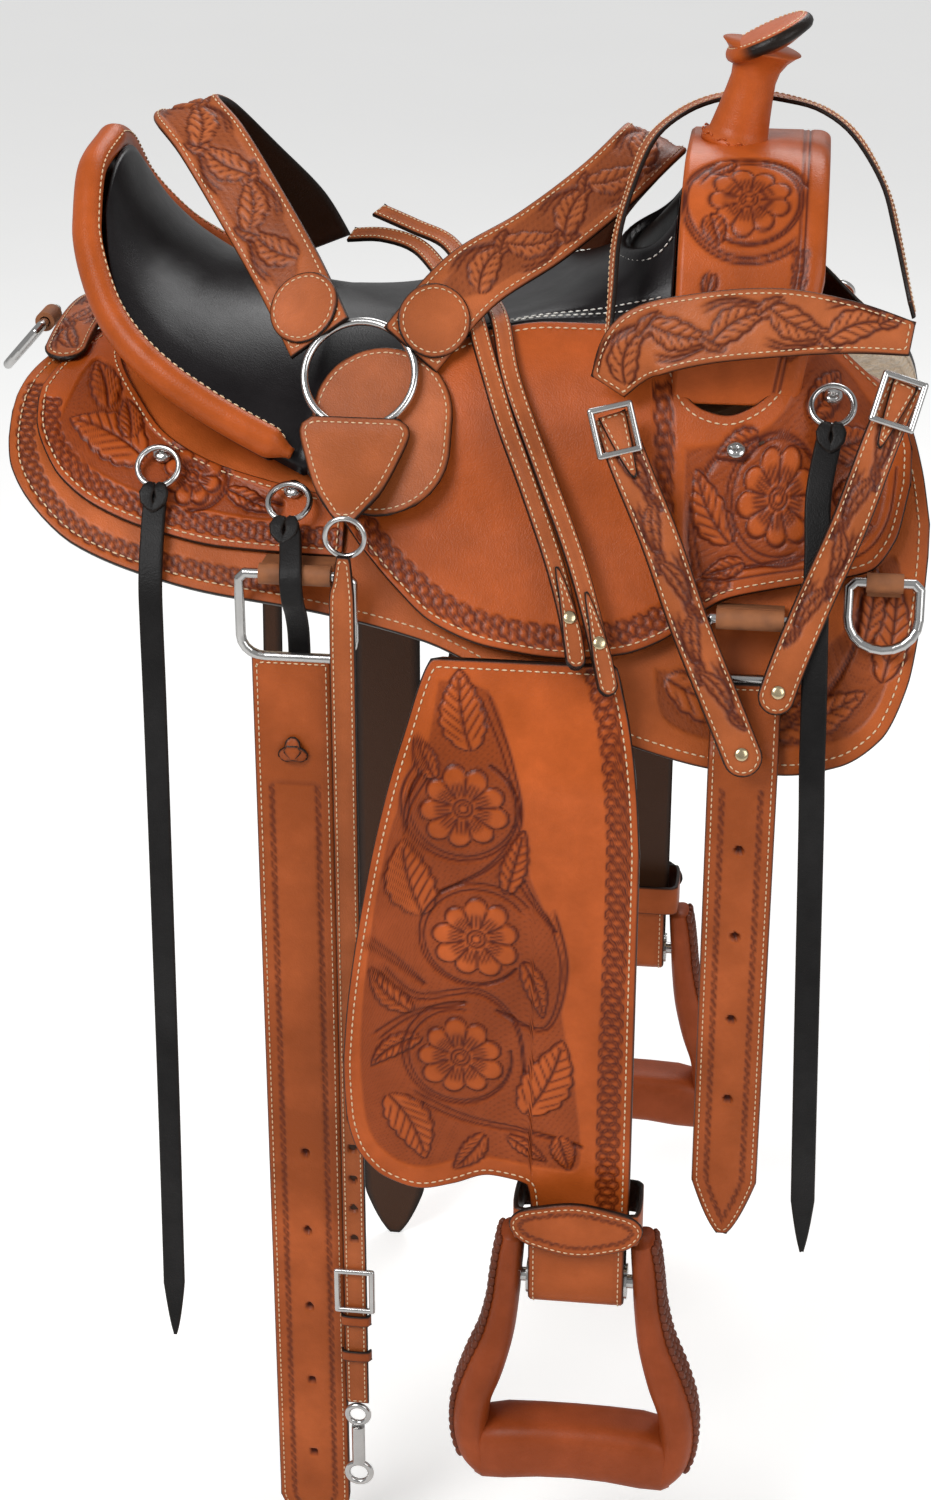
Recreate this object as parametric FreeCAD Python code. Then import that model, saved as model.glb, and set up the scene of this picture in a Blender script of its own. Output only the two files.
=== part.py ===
"""Western saddle with its breast collar, headstall and reins hung on it. Millimetres, +X to the horse's head,
+Y to the left side, +Z up. The origin is the middle of the underside, where the saddle rests on the back."""
import FreeCAD, Part
from FreeCAD import Vector, Placement, Rotation
import math
import os

os.makedirs("parts", exist_ok=True)

# ---------------------------------------------------------------- driving dimensions
SLOPE_MID, SLOPE_GROWTH = 56.0, 9.0      # degrees: how steeply the skirts hang at mid length, and more at the front
CROWN_ARC = 190.0                        # arc length over which the back form turns to that slope
ROCKER = 12.0                            # rise of the form at its ends
HALF_LENGTH = 300.0
FLEECE = (0.0, 11.0)                     # layers are given as heights above the back form
SKIRT = (11.3, 15.8)
BARS = (17.6, 36.0)
REAR_JOCKEY = (16.9, 20.7)
JOCKEY_THICK = 4.0
JOCKEY_LOW, JOCKEY_SWELL = 27.0, 50.0    # height of the seat jockey over the skirt, and its extra rise at the bars
SEAT_THICK = 13.0
WIRE = 3.4                               # radius of the rigging dees' wire
HANG_Y = 247.0                           # distance of a hanging fender from the middle
STIRRUP_PIN_Z = -597.0
STIRRUP_X = 111.0
RIM_R = 9.5                              # radius of the roll that binds the cantle
HOLE = 3.2                               # radius of the billet holes


# ---------------------------------------------------------------- curves
def ease(low, high, value):
    """0 below low, 1 above high and smooth between."""
    t = min(max((value - low) / (high - low), 0.0), 1.0)
    return t * t * (3 - 2 * t)


def table(points, x):
    """Smooth curve through (x, value) points that doesn't overshoot them."""
    if x <= points[0][0]:
        return points[0][1]
    if x >= points[-1][0]:
        return points[-1][1]
    k = max(i for i in range(len(points) - 1) if points[i][0] <= x)
    slopes = [(b[1] - a[1]) / (b[0] - a[0]) for a, b in zip(points, points[1:])]

    def tangent(i):
        if i == 0 or i == len(points) - 1:
            return slopes[min(i, len(slopes) - 1)]
        a, b = slopes[i - 1], slopes[i]
        return 0.0 if a * b <= 0 else 2 * a * b / (a + b)

    (x0, y0), (x1, y1) = points[k], points[k + 1]
    step = x1 - x0
    t = (x - x0) / step
    return ((2 * t**3 - 3 * t**2 + 1) * y0 + (t**3 - 2 * t**2 + t) * step * tangent(k)
            + (3 * t**2 - 2 * t**3) * y1 + (t**3 - t**2) * step * tangent(k + 1))


def stations(low, high, count):
    """Values from low to high, closer together at both ends."""
    return [low + (high - low) * (1 - math.cos(math.pi * i / (count - 1))) / 2 for i in range(count)]


def spread(low, high, count):
    return [low + (high - low) * i / (count - 1) for i in range(count)]


# ---------------------------------------------------------------- the back form
def form(x, s, h, side):
    """The point h above the form of the back, s round from the middle line on one side, at length x."""
    slope = math.radians(SLOPE_MID + SLOPE_GROWTH * x / HALF_LENGTH)
    radius = CROWN_ARC / slope
    arc = min(s, CROWN_ARC)
    turn = arc / radius
    y = radius * math.sin(turn) + (s - arc) * math.cos(slope)
    z = -radius * (1 - math.cos(turn)) - (s - arc) * math.sin(slope)
    lift = ROCKER * (x / HALF_LENGTH) ** 2
    return Vector(x, side * (y + h * math.sin(turn)), z + h * math.cos(turn) + lift)


def jockey_height(x, s):
    return JOCKEY_LOW + JOCKEY_SWELL * (1 - ease(60, 185, s)) * (1 - ease(225, 300, x))


# ---------------------------------------------------------------- solids from grids of points
def surface(grid):
    made = Part.BSplineSurface()
    made.interpolate(grid)
    return made


def closed(faces):
    shell = Part.makeShell(faces)
    shell.sewShape()
    solid = Part.Solid(shell)
    if solid.Volume < 0:
        solid.reverse()
    return solid


def slab(lower, upper):
    """Solid between two grids of points of the same size."""
    a, b = surface(lower), surface(upper)
    faces = [a.toShape(), b.toShape()]
    u0, u1, v0, v1 = a.bounds()
    p0, p1, q0, q1 = b.bounds()
    sides = [(a.uIso(u0), b.uIso(p0)), (a.uIso(u1), b.uIso(p1)), (a.vIso(v0), b.vIso(q0)), (a.vIso(v1), b.vIso(q1))]
    faces += [Part.makeRuledSurface(c.toShape(), d.toShape()) for c, d in sides]
    return closed(faces)


def sheet(side, inner, outer, low, high, x_range, count=(20, 7)):
    """Leather lying on the form, from inner to outer round it; low and high are heights or functions of (x, s)."""
    rows = []
    for x in stations(*x_range, count[0]):
        a, b = inner(x), outer(x)
        rows.append([(x, s) for s in spread(a, b, count[1])])

    def grid(height):
        return [[form(x, s, height(x, s) if callable(height) else height, side) for x, s in row] for row in rows]

    return slab(grid(low), grid(high))


def smooth(rows, per=6):
    """Catmull-Rom rows of numbers through a short list, per to each span."""
    out = []
    for i in range(len(rows) - 1):
        p0, p1, p2, p3 = (rows[max(i - 1, 0)], rows[i], rows[i + 1], rows[min(i + 2, len(rows) - 1)])
        for k in range(per):
            t = k / per
            out.append([0.5 * (2 * b + (c - a) * t + (2 * a - 5 * b + 4 * c - d) * t * t
                               + (3 * b - a - 3 * c + d) * t**3) for a, b, c, d in zip(p0, p1, p2, p3)])
    return out + [list(rows[-1])]


def even(rows, step):
    """The same line with its rows spaced evenly, about a step apart."""
    lengths = [0.0]
    for a, b in zip(rows, rows[1:]):
        lengths.append(lengths[-1] + math.dist(a[:3], b[:3]))
    count = max(4, round(lengths[-1] / step) + 1)
    out, k = [], 0
    for i in range(count):
        at = lengths[-1] * i / (count - 1)
        while k < len(rows) - 2 and lengths[k + 1] < at:
            k += 1
        t = (at - lengths[k]) / (lengths[k + 1] - lengths[k])
        out.append([a + (b - a) * t for a, b in zip(rows[k], rows[k + 1])])
    return out


def strap(path, width, thick, out, step=16):
    """Flat strap along smooth points; width and out, roughly the way its face looks, are one for all points or one
    for each."""
    outs = out if hasattr(out[0], "__len__") else [out] * len(path)
    wide = width if hasattr(width, "__len__") else [width] * len(path)
    rows = even(smooth([[*p, w, *o] for p, w, o in zip(path, wide, outs)]), step)
    points = [Vector(*row[:3]) for row in rows]
    lower, upper = [], []
    for i, (p, row) in enumerate(zip(points, rows)):
        along = points[min(i + 1, len(points) - 1)] - points[max(i - 1, 0)]
        way = Vector(*row[4:]).cross(along)
        way.normalize()
        normal = along.cross(way)
        normal.normalize()
        line = [p + way * (row[3] * k) for k in (-0.5, 0.0, 0.5)]
        lower.append([q - normal * (thick / 2) for q in line])
        upper.append([q + normal * (thick / 2) for q in line])
    return slab(lower, upper)


def plate(outline, y, thick, holes=()):
    """Flat plate in the plane across Y, outline in (x, z), its middle at y."""
    edge = Part.makePolygon([Vector(x, y - thick / 2, z) for x, z in outline + outline[:1]])
    solid = Part.Face(edge).extrude(Vector(0, thick, 0))
    for x, z, r in holes:
        solid = solid.cut(Part.makeCylinder(r, thick * 3, Vector(x, y - thick * 1.5, z), Vector(0, 1, 0)))
    return solid


def pipe(points, radius):
    """Round rod along straight runs with balls at the corners."""
    solid = None
    for a, b in zip(points, points[1:]):
        a, b = Vector(*a), Vector(*b)
        rod = Part.makeCylinder(radius, (b - a).Length, a, b - a)
        solid = rod if solid is None else solid.fuse(rod)
    for p in points[1:-1]:
        solid = solid.fuse(Part.makeSphere(radius, Vector(*p)))
    return solid.removeSplitter()


def mirrored(shape):
    return shape.mirror(Vector(0, 0, 0), Vector(0, 1, 0))


def largest(shape):
    return max(shape.Solids, key=lambda solid: solid.Volume)


def save(name, *shapes):
    shape = shapes[0] if len(shapes) == 1 else Part.makeCompound(list(shapes))
    shape.exportStep("parts/" + name + ".step")
    solids = shape.Solids
    print(f"{name:26s} solids {len(solids)}  volume {shape.Volume / 1000:9.2f} cm3  valid {shape.isValid()}")


def save_pair(name, right):
    """The right-hand piece and its mirror image, in nodes of their own."""
    save(name + "_right", right)
    save(name + "_left", mirrored(right))


# ---------------------------------------------------------------- outlines on the form, as (x, s)
SKIRT_OUT = [(-298, 118), (-296, 140), (-290, 162), (-270, 188), (-241, 209), (-199, 222), (-150, 230), (-87, 234),
             (-6, 247), (80, 285), (144, 310), (200, 322), (240, 324), (274, 318), (301, 300), (317, 264), (324, 215),
             (326, 180)]
SKIRT_IN = [(-298, 104), (-295, 86), (-285, 58), (-270, 28), (-255, 8), (-240, 1.5), (-200, 1.5), (-160, 22), (0, 26),
            (220, 26), (262, 30), (290, 48), (309, 84), (320, 125), (326, 160)]
REAR_OUT = [(-281, 108), (-278, 128), (-270, 146), (-255, 166), (-229, 182), (-190, 193), (-142, 199), (-60, 197)]
REAR_IN = [(-281, 98), (-276, 80), (-266, 56), (-254, 28), (-246, 14), (-232, 64), (-216, 92), (-190, 124), (-165, 138),
           (-140, 146), (-60, 160)]
JOCKEY_OUT = [(-86, 152), (-70, 166), (-48, 190), (-24, 215), (4, 238), (43, 251), (89, 255), (128, 250), (157, 238),
              (176, 222), (196, 210), (225, 203), (256, 197), (288, 190), (304, 172), (312, 140)]
JOCKEY_NECK = [(140, 80), (152, 86), (162, 104), (176, 111), (190, 113), (206, 109), (222, 98), (234, 74), (250, 62),
               (275, 66), (300, 80), (312, 118)]
SEAT_HALF = [(-86, 157), (-40, 137), (0, 112), (35, 97), (68, 91), (110, 92), (150, 95)]
SEAT_MIDDLE = [(-240, 150), (-226, 112), (-206, 84), (-180, 66), (-140, 54), (-95, 48), (-45, 46), (0, 48), (50, 58),
               (95, 80), (128, 112), (149, 140)]
RIM = [(-240, 0, 152), (-244, 40, 141), (-241, 75, 110), (-220, 116, 66), (-188, 141, 36), (-150, 151, 12),
       (-115, 156, -6), (-88, 157.5, -19)]


def jockey_in(x):
    """Inner edge of the seat jockey: along the padded seat, then round the foot of the swell."""
    if x >= 140:
        return table(JOCKEY_NECK, x)
    half = table(SEAT_HALF, x) + 1.5
    low, high = 20.0, 200.0
    for _ in range(40):
        s = (low + high) / 2
        if form(x, s, jockey_height(x, s), 1).y < half:
            low = s
        else:
            high = s
    return s


def seat_edge(x):
    """Height of the padded seat's edge where it meets the jockey."""
    s = jockey_in(min(x, 139.9))
    return form(x, s, jockey_height(x, s) + JOCKEY_THICK, 1).z


# ---------------------------------------------------------------- skirts, fleece and jockeys
skirt_in, skirt_out = (lambda x: table(SKIRT_IN, x)), (lambda x: table(SKIRT_OUT, x))
skirt_x = (-298, 326)
save_pair("fleece", sheet(-1, lambda x: skirt_in(x) + 1, lambda x: skirt_out(x) - 3, *FLEECE, (-295, 323)))
save_pair("skirt", sheet(-1, skirt_in, skirt_out, *SKIRT, skirt_x, (24, 7)))
save_pair("rear_jockey", sheet(-1, lambda x: table(REAR_IN, x), lambda x: table(REAR_OUT, x), *REAR_JOCKEY,
                               (-281, -60)))
jockey = sheet(-1, jockey_in, lambda x: table(JOCKEY_OUT, x), jockey_height,
               lambda x, s: jockey_height(x, s) + JOCKEY_THICK, (-86, 312), (30, 8))
save_pair("seat_jockey", jockey)

# ---------------------------------------------------------------- the tree: bars, fork, cantle board, ground seat
bar = sheet(-1, lambda x: 30, lambda x: table([(-222, 62), (-150, 104), (0, 96), (150, 104), (236, 70)], x),
            BARS[0], lambda x, s: table([(-222, 24), (-150, BARS[1]), (200, BARS[1]), (236, 26)], x), (-222, 236),
            (14, 5))
FORK_OUT = [(0, 166), (40, 163), (74, 149), (101, 123), (117, 92), (127, 60), (134, 30)]
FORK_IN = [(84, 40), (82, 60), (70, 84), (42, 108), (0, 114)]
FORK_BACK, FORK_FRONT, FORK_TOE = 156.0, 246.0, 230.0


def fork_block(grow):
    """The arch of the swell, its outer and inner outlines grown by grow all round but at the feet."""
    half = [(y + grow * min(1, y / 60), z + grow * max(0, 1 - y / 130)) for y, z in FORK_OUT]
    arch = [(y - grow, z - grow * (1 if y < 60 else 0)) for y, z in FORK_IN[:-1]] + [(0, FORK_IN[-1][1] - grow)]
    ring = half + arch
    ring += [(-y, z) for y, z in reversed(ring) if y > 0]
    face = Part.Face(Part.makePolygon([Vector(FORK_BACK - grow, y, z) for y, z in ring + ring[:1]]))
    block = face.extrude(Vector(FORK_FRONT - FORK_BACK + 2 * grow, 0, 0))
    side = [(FORK_BACK - grow, -20), (FORK_TOE + grow, -20), (FORK_TOE + grow + 2, 20), (FORK_FRONT + grow, 110),
            (FORK_FRONT + grow, 200), (FORK_BACK - grow, 200)]
    wedge = Part.Face(Part.makePolygon([Vector(x, -200, z) for x, z in side + side[:1]])).extrude(Vector(0, 400, 0))
    return block.common(wedge)


save("tree_fork", largest(fork_block(0).cut(jockey).cut(mirrored(jockey))))
fork_cover = fork_block(3.4).cut(fork_block(0.2))
HORN_BASE = Vector(184, 0, 162)
HORN_TOP = Vector(200, 0, 231)
horn_way = HORN_TOP - HORN_BASE
bore = Part.makeCylinder(11.2, 40, HORN_BASE - horn_way * 0.2, horn_way)
save("fork_cover", largest(fork_cover.cut(bore).cut(jockey).cut(mirrored(jockey))))
save("horn_core", Part.makeCylinder(11, horn_way.Length - 18, HORN_BASE + horn_way * (7.2 / 71), horn_way))
neck = Part.makeCone(19.5, 14, horn_way.Length - 21, HORN_BASE + horn_way * (10.5 / 71), horn_way)
save("horn_wrap", neck.cut(Part.makeCylinder(11.2, 90, HORN_BASE, horn_way)))
CAP_TILT = 26.0
cap = Part.makeCylinder(31, 9, Vector(0, 0, 0), Vector(0, 0, 1))
cap = cap.makeFillet(3.4, [e for e in cap.Edges if len(e.Vertexes) == 1])
cap.Placement = Placement(Vector(206, 0, 232.5), Rotation(Vector(0, 1, 0), -CAP_TILT))
save("horn_cap", cap)


def rim_point(t):
    """A point on the cantle's rim; t runs from -1 at the right end over 0 at the middle to 1 at the left."""
    side, k = (1 if t >= 0 else -1), abs(t) * (len(RIM) - 1)
    x, y, z = (table([(i, p[axis]) for i, p in enumerate(RIM)], k) for axis in range(3))
    return x, side * y, z


def seat_top(x, y, half, edge):
    middle = table(SEAT_MIDDLE, x)
    return middle + (edge - middle) * (abs(y) / max(half, 1e-6)) ** 2.2



def seat_half(x):
    rim_half = [(-240, 64), (-232, 92), (-220, 113), (-188, 138), (-150, 148), (-115, 153), (-88, 156)]
    return table(rim_half, x) if x < -88 else table(SEAT_HALF, x)


def seat_rim(x):
    rim_edge = [(-240, 120), (-232, 92), (-220, 68), (-188, 36), (-150, 12), (-115, -6), (-88, -19)]
    return table(rim_edge, x) if x < -88 else seat_edge(x)


def seat_grid(drop, inset=0.0, x_range=(-240, 149)):
    grid = []
    for x in spread(*x_range, 22):
        half = seat_half(x)
        keep = 1 - inset / half
        grid.append([Vector(x, half * k * keep, seat_top(x, half * k * keep, half, seat_rim(x)) - drop)
                     for k in spread(-1, 1, 15)])
    return grid


rim_path = [Vector(*rim_point(t)) for t in spread(-1, 1, 33)]
rim_curve = Part.BSplineCurve()
rim_curve.interpolate([p + Vector(-9, 0, 4) for p in rim_path])
rim_wire = Part.Wire(rim_curve.toShape())
start = rim_curve.value(rim_curve.FirstParameter)
profile = Part.Wire(Part.Circle(start, Vector(*rim_curve.tangent(rim_curve.FirstParameter)[0]), RIM_R).toShape())
binding = rim_wire.makePipeShell([profile], True, True)
save("cantle_binding", binding)
seat = largest(slab(seat_grid(SEAT_THICK), seat_grid(0)).cut(binding))
save("seat", seat)
bar = largest(bar.cut(seat))
save("tree_bars", bar, mirrored(bar))
ground = slab(seat_grid(SEAT_THICK + 3.6, 26, (-190, 126)), seat_grid(SEAT_THICK + 1.2, 26, (-190, 126)))
ground = largest(ground.cut(bar).cut(mirrored(bar)).cut(seat))
save("ground_seat", ground)


def cantle_foot(t):
    """Where the back of the cantle meets the rear jockeys."""
    x, y, z = rim_point(t)
    foot = form(x + 22 * (1 - t * t), 8 + 140 * abs(t) ** 1.15, REAR_JOCKEY[1] + 2, 1)
    return Vector(foot.x - 4, math.copysign(foot.y, t), foot.z)


def cantle_back(depth, span=0.93, top=8.0, bottom=0.0):
    grid = []
    for t in spread(-span, span, 17):
        a, b = Vector(*rim_point(t)) + Vector(-8 + depth, 0, -top), cantle_foot(t) + Vector(depth, 0, bottom)
        grid.append([a + (b - a) * k for k in (0, 0.33, 0.67, 1)])
    return grid


back = slab(cantle_back(-5), cantle_back(-2))
save("cantle_back", largest(back.cut(seat).cut(binding).cut(bar).cut(mirrored(bar))))
board = slab(cantle_back(-1.2, 0.42, 50, 14), cantle_back(9, 0.42, 54, 14))
save("tree_cantle", largest(board.cut(seat).cut(bar).cut(mirrored(bar)).cut(ground).cut(back)))

# ---------------------------------------------------------------- housing strap behind the cantle and its dee
housing_line = [form(-272, s, 24.0, side) for s, side in [(74, -1), (50, -1), (25, -1), (0, 1), (25, 1), (50, 1),
                                                          (74, 1)]]
save("rear_housing", strap([tuple(p) for p in housing_line], 30, 3.6, (0, 0.01, 1)))


def dee(width, drop, wire, foot=0.0):
    """Rounded ring hanging from a straight bar along X at the origin, in the plane across Y; foot is the length of
    its straight lower side."""
    half = width / 2
    corner = half - foot / 2
    sweep = [math.radians(d) for d in range(0, 91, 18)]
    low = [(foot / 2 + corner * math.cos(a), -drop + corner * 0.9 * (1 - math.sin(a))) for a in sweep]
    right = [(0, 0), (half - 4, 0), (half, -4)] + low
    ring = right + [(-x, z) for x, z in reversed(right)]
    rods = pipe([(x, 0, z) for x, z in ring], wire)
    return rods


def placed(shape, at, lean=0.0):
    """Leans a hanging piece away from the saddle about X and puts it in place."""
    made = shape.copy()
    made.Placement = Placement(Vector(*at), Rotation(Vector(1, 0, 0), lean))
    return made


def sleeve(at, length, outer=7.0, inner=4.0, way=(1, 0, 0)):
    foot = Vector(*at) - Vector(*way) * (length / 2)
    return Part.makeCylinder(outer, length, foot, Vector(*way)).cut(Part.makeCylinder(inner, length, foot, Vector(*way)))


# ---------------------------------------------------------------- rigging: dees and the straps that hold them
BACK_DEE = (-302, 0, 26)
REAR_DEE = (-87, -211, -80)
REAR_DEE_DROP = 59.0
CINCH_DEE = (212, -211, -97)
CINCH_DROP = 42.0
FRONT_DEE = (298, -184, -78)


def holder(at, s_from, width):
    """Flat leather tab from the skirt, s_from round the form, out to a dee's bar."""
    foot = form(at[0], s_from, 18.0, -1)
    end = Vector(at[0], at[1] + 8.6, at[2] + 3.0)
    run = end - foot
    normal = run.cross(Vector(1, 0, 0))
    normal.normalize()
    corners = [foot - normal * 1.5, end - normal * 1.5, end + normal * 1.5, foot + normal * 1.5]
    edge = Part.makePolygon([c - Vector(width / 2, 0, 0) for c in corners + corners[:1]])
    return Part.Face(edge).extrude(Vector(width, 0, 0))


rear_strap, cinch_strap, front_strap = (holder(REAR_DEE, 199.5, 48), holder(CINCH_DEE, 213, 44),
                                        holder(FRONT_DEE, 205, 22))
held = [sleeve(REAR_DEE, 48), sleeve(CINCH_DEE, 44), sleeve(FRONT_DEE, 24, 6.6), rear_strap, cinch_strap, front_strap]
save("rigging_straps", *(held + [mirrored(s) for s in held] + [sleeve(BACK_DEE, 22, way=(0, 1, 0))]))
save_pair("rear_dee", placed(dee(76, REAR_DEE_DROP, WIRE, 44), REAR_DEE))
cinch_dee = placed(dee(58, CINCH_DROP, WIRE, 40), CINCH_DEE)
save("cinch_dees", cinch_dee, mirrored(cinch_dee))
save_pair("front_dee", placed(dee(46, 44, WIRE), FRONT_DEE, -19))
back_dee = dee(52, 46, WIRE)
back_dee.Placement = Placement(Vector(*BACK_DEE), Rotation(Vector(0, 0, 1), -90).multiply(
    Rotation(Vector(1, 0, 0), -42)))
save("back_dee", back_dee)


# ---------------------------------------------------------------- billets and latigo
def pointed(x, top, low, width):
    """Outline of a hanging strap with a pointed end."""
    half = width / 2
    return [(x - half, top), (x + half, top), (x + half, low + 44), (x + half * 0.6, low + 17), (x, low),
            (x - half * 0.6, low + 17), (x - half, low + 44)]


REAR_BILLET_X, REAR_BILLET_WIDTH = -91.0, 54.0
rear_bar = (REAR_BILLET_X + 4, REAR_DEE[1], REAR_DEE[2] - REAR_DEE_DROP)
rear_holes = [(REAR_BILLET_X, -529 - 68 * i, HOLE) for i in range(5)]
rear_billet = plate(pointed(REAR_BILLET_X, rear_bar[2] - 5, -890, REAR_BILLET_WIDTH), REAR_DEE[1], 5, rear_holes)
save_pair("rear_billet", rear_billet.cut(Part.makeCylinder(4, 90, Vector(-130, rear_bar[1], rear_bar[2]),
                                                           Vector(1, 0, 0))).fuse(sleeve(rear_bar, 42)))
FRONT_BILLET_WIDTH, FRONT_BILLET_Y, BILLET_LEAN = 46.0, -234.5, 3.0
front_bar = (CINCH_DEE[0], CINCH_DEE[1], CINCH_DEE[2] - CINCH_DROP)


def front_strap_down(low, holes):
    """Billet that passes from the cinch dee out over the skirt's edge and then hangs."""
    flat = plate(pointed(front_bar[0], -192, low, FRONT_BILLET_WIDTH), FRONT_BILLET_Y, 4.6, holes)
    flat.rotate(Vector(0, FRONT_BILLET_Y, -192), Vector(1, 0, 0), BILLET_LEAN)
    slant = [(front_bar[1] - 4.6, front_bar[2] - 5), (front_bar[1], front_bar[2] - 7), (FRONT_BILLET_Y + 2.3, -192),
             (FRONT_BILLET_Y - 2.3, -192)]
    corners = [Vector(front_bar[0] - FRONT_BILLET_WIDTH / 2, y, z) for y, z in slant + slant[:1]]
    neck = Part.Face(Part.makePolygon(corners)).extrude(Vector(FRONT_BILLET_WIDTH, 0, 0))
    return flat.fuse([neck, sleeve(front_bar, 36)]).removeSplitter()


save("front_billet_right", front_strap_down(-572, [(front_bar[0], -256 - 67 * i, HOLE) for i in range(4)]))
save("latigo_left", mirrored(front_strap_down(-600, [(front_bar[0], -330 - 50 * i, HOLE) for i in range(5)])))

# ---------------------------------------------------------------- fenders, stirrup leathers and stirrups
SWING = [(-128, 225), (-150, 233), (-175, 240.5), (-215, HANG_Y), (-700, HANG_Y)]
FENDER = [(7, -128), (-13, -182), (-30, -249), (-43, -319), (-52, -383), (-56, -431), (-54, -473), (-45, -503),
          (-26, -522), (-2, -529), (22, -523), (47, -514), (62, -516), (76, -521), (76, -545), (146, -545),
          (147, -490), (147, -330), (147, -254), (144, -209), (139, -173), (131, -140), (127, -128)]


def fender():
    """Hanging panel, curved in at its top where it comes out from under the jockey."""
    heights = spread(-560, -120, 40)

    def grid(shift):
        return [[Vector(x, -table(sorted(SWING), z) + shift, z) for x in (-80, 40, 160)] for z in heights]

    outline = Part.BSplineCurve()
    outline.interpolate([Vector(x, -300, z) for x, z in FENDER[:14]])
    rest = Part.makePolygon([Vector(x, -300, z) for x, z in FENDER[13:] + FENDER[:1]])
    cutter = Part.Face(Part.Wire([outline.toShape()] + rest.Edges)).extrude(Vector(0, 120, 0))
    return slab(grid(-2.2), grid(2.2)).common(cutter)


save_pair("fender", fender())
hanger = sheet(-1, lambda x: 112, lambda x: 234, 20.4, 24.8, (8, 126), (8, 8))
save("fender_hangers", hanger, mirrored(hanger))
pin = Vector(STIRRUP_X, -HANG_Y, STIRRUP_PIN_Z)
LOOP_R, LOOP_HALF = 13.0, 34.0
across = Vector(1, 0, 0)
loop = Part.makeCylinder(LOOP_R + 5, 2 * LOOP_HALF, pin - across * LOOP_HALF, across).cut(
    Part.makeCylinder(LOOP_R, 2 * LOOP_HALF, pin - across * LOOP_HALF, across))
loop = loop.cut(Part.makeBox(80, 60, 30, pin + Vector(-40, -30, 0)))
legs = [Part.makeBox(2 * LOOP_HALF, 5, 62, pin + Vector(-LOOP_HALF, y, 0)) for y in (-LOOP_R - 5, LOOP_R)]
save_pair("stirrup_leather", loop.fuse(legs).removeSplitter())
keeper = Part.makeBox(85, 46, 28, pin + Vector(-42.5, -23, 44)).cut(
    Part.makeBox(77, 38, 28, pin + Vector(-38.5, -19, 44)))
save_pair("stirrup_keeper", keeper)
BOLT_R = 5.0
bolt = Part.makeCylinder(BOLT_R, 100, pin - across * 50, across)
save_pair("stirrup_roller", bolt.fuse(Part.makeCylinder(LOOP_R - 0.3, 72, pin - across * 36, across)))
STIRRUP_OUT = [(54, 37), (58, 5), (62, -30), (72, -68), (84, -110), (83, -142), (70, -166), (40, -176)]
STIRRUP_IN = [(38, 37), (38, -18), (45, -55), (60, -98), (64, -118)]
STIRRUP_DEPTH = [(-15, 60), (15, 60), (17, -30), (23, -100), (24, -160), (17, -190), (-17, -190), (-24, -160),
                 (-23, -100), (-17, -30)]


def stirrup():
    half = STIRRUP_OUT + [(-x, z) for x, z in reversed(STIRRUP_OUT)]
    inner = [(-x, z) for x, z in STIRRUP_IN] + [(x, z) for x, z in reversed(STIRRUP_IN)]
    ring = half + inner
    block = Part.Face(Part.makePolygon([pin + Vector(x, -26, z) for x, z in ring + ring[:1]])).extrude(
        Vector(0, 52, 0))
    trim = Part.Face(Part.makePolygon([pin + Vector(-120, y, z) for y, z in STIRRUP_DEPTH + STIRRUP_DEPTH[:1]]))
    block = block.common(trim.extrude(Vector(240, 0, 0)))
    return block.cut(Part.makeCylinder(BOLT_R + 0.05, 200, pin - across * 100, across))


save_pair("stirrup", stirrup())

# ---------------------------------------------------------------- saddle strings on their clips, screws
RING_R, RING_WIRE = 14.0, 2.2
STRINGS = {
    "rear": ((-188, 142), 16.0, [(-187, -190, -62), (-186, -207, -90), (-185.5, -212, -120), (-186, -212, -180),
                                 (-188, -212, -320), (-191, -212, -500), (-195, -212, -700)]),
    "middle": ((-97, 157), 15.0, [(-94, -190, -56), (-90, -211, -68), (-88.5, -221.5, -80), (-88, -219, -96),
                                  (-88, -208, -110), (-88, -201, -124), (-88, -199, -138), (-88, -199, -152)]),
    "front": ((258, 98), 17.0, [(252, -177, -20), (253, -196, -52), (254, -212, -92), (256, -231, -150),
                                (257, -237, -190), (259, -236, -240), (264, -226, -400), (270, -212, -585)])}
clips, middle_rings = [], []
for place, ((x, s), width, route) in STRINGS.items():
    low = jockey_height(x, s) + JOCKEY_THICK if place == "front" else REAR_JOCKEY[1]
    foot, head = form(x, s, low + 0.3, -1), form(x, s, low + (11.5 if place == "front" else 9.5), -1)
    way = head - foot
    way.normalize()
    clips.append(Part.makeCylinder(6.5, 1.8, foot, way).fuse(Part.makeCylinder(2.2, 6.4, foot, way)))
    slope = Vector(*route[0]) - head
    slope.x = 0
    slope.normalize()
    centre = head + slope * RING_R
    ring = Part.makeTorus(RING_R, RING_WIRE, centre, slope.cross(Vector(1, 0, 0)))
    top = centre + slope * (RING_R + RING_WIRE + 1.0)
    string = strap([tuple(top)] + route, width, 3.0, (0, -1, 0.2))
    if place == "middle":
        middle_rings = [ring, mirrored(ring)]
        save("strings_middle", string, mirrored(string))
    else:
        save_pair("string_ring_" + place, ring)
        save_pair("string_" + place, string)
save("string_rings_middle", *middle_rings)
screw_foot = form(197, 130, jockey_height(197, 130) + JOCKEY_THICK + 0.3, -1)
screw = Part.makeCylinder(6, 2.2, screw_foot, form(197, 130, 80, -1) - form(197, 130, 60, -1))
fixings = clips + [screw]
save("screws_and_clips", *(fixings + [mirrored(c) for c in fixings]))

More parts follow.
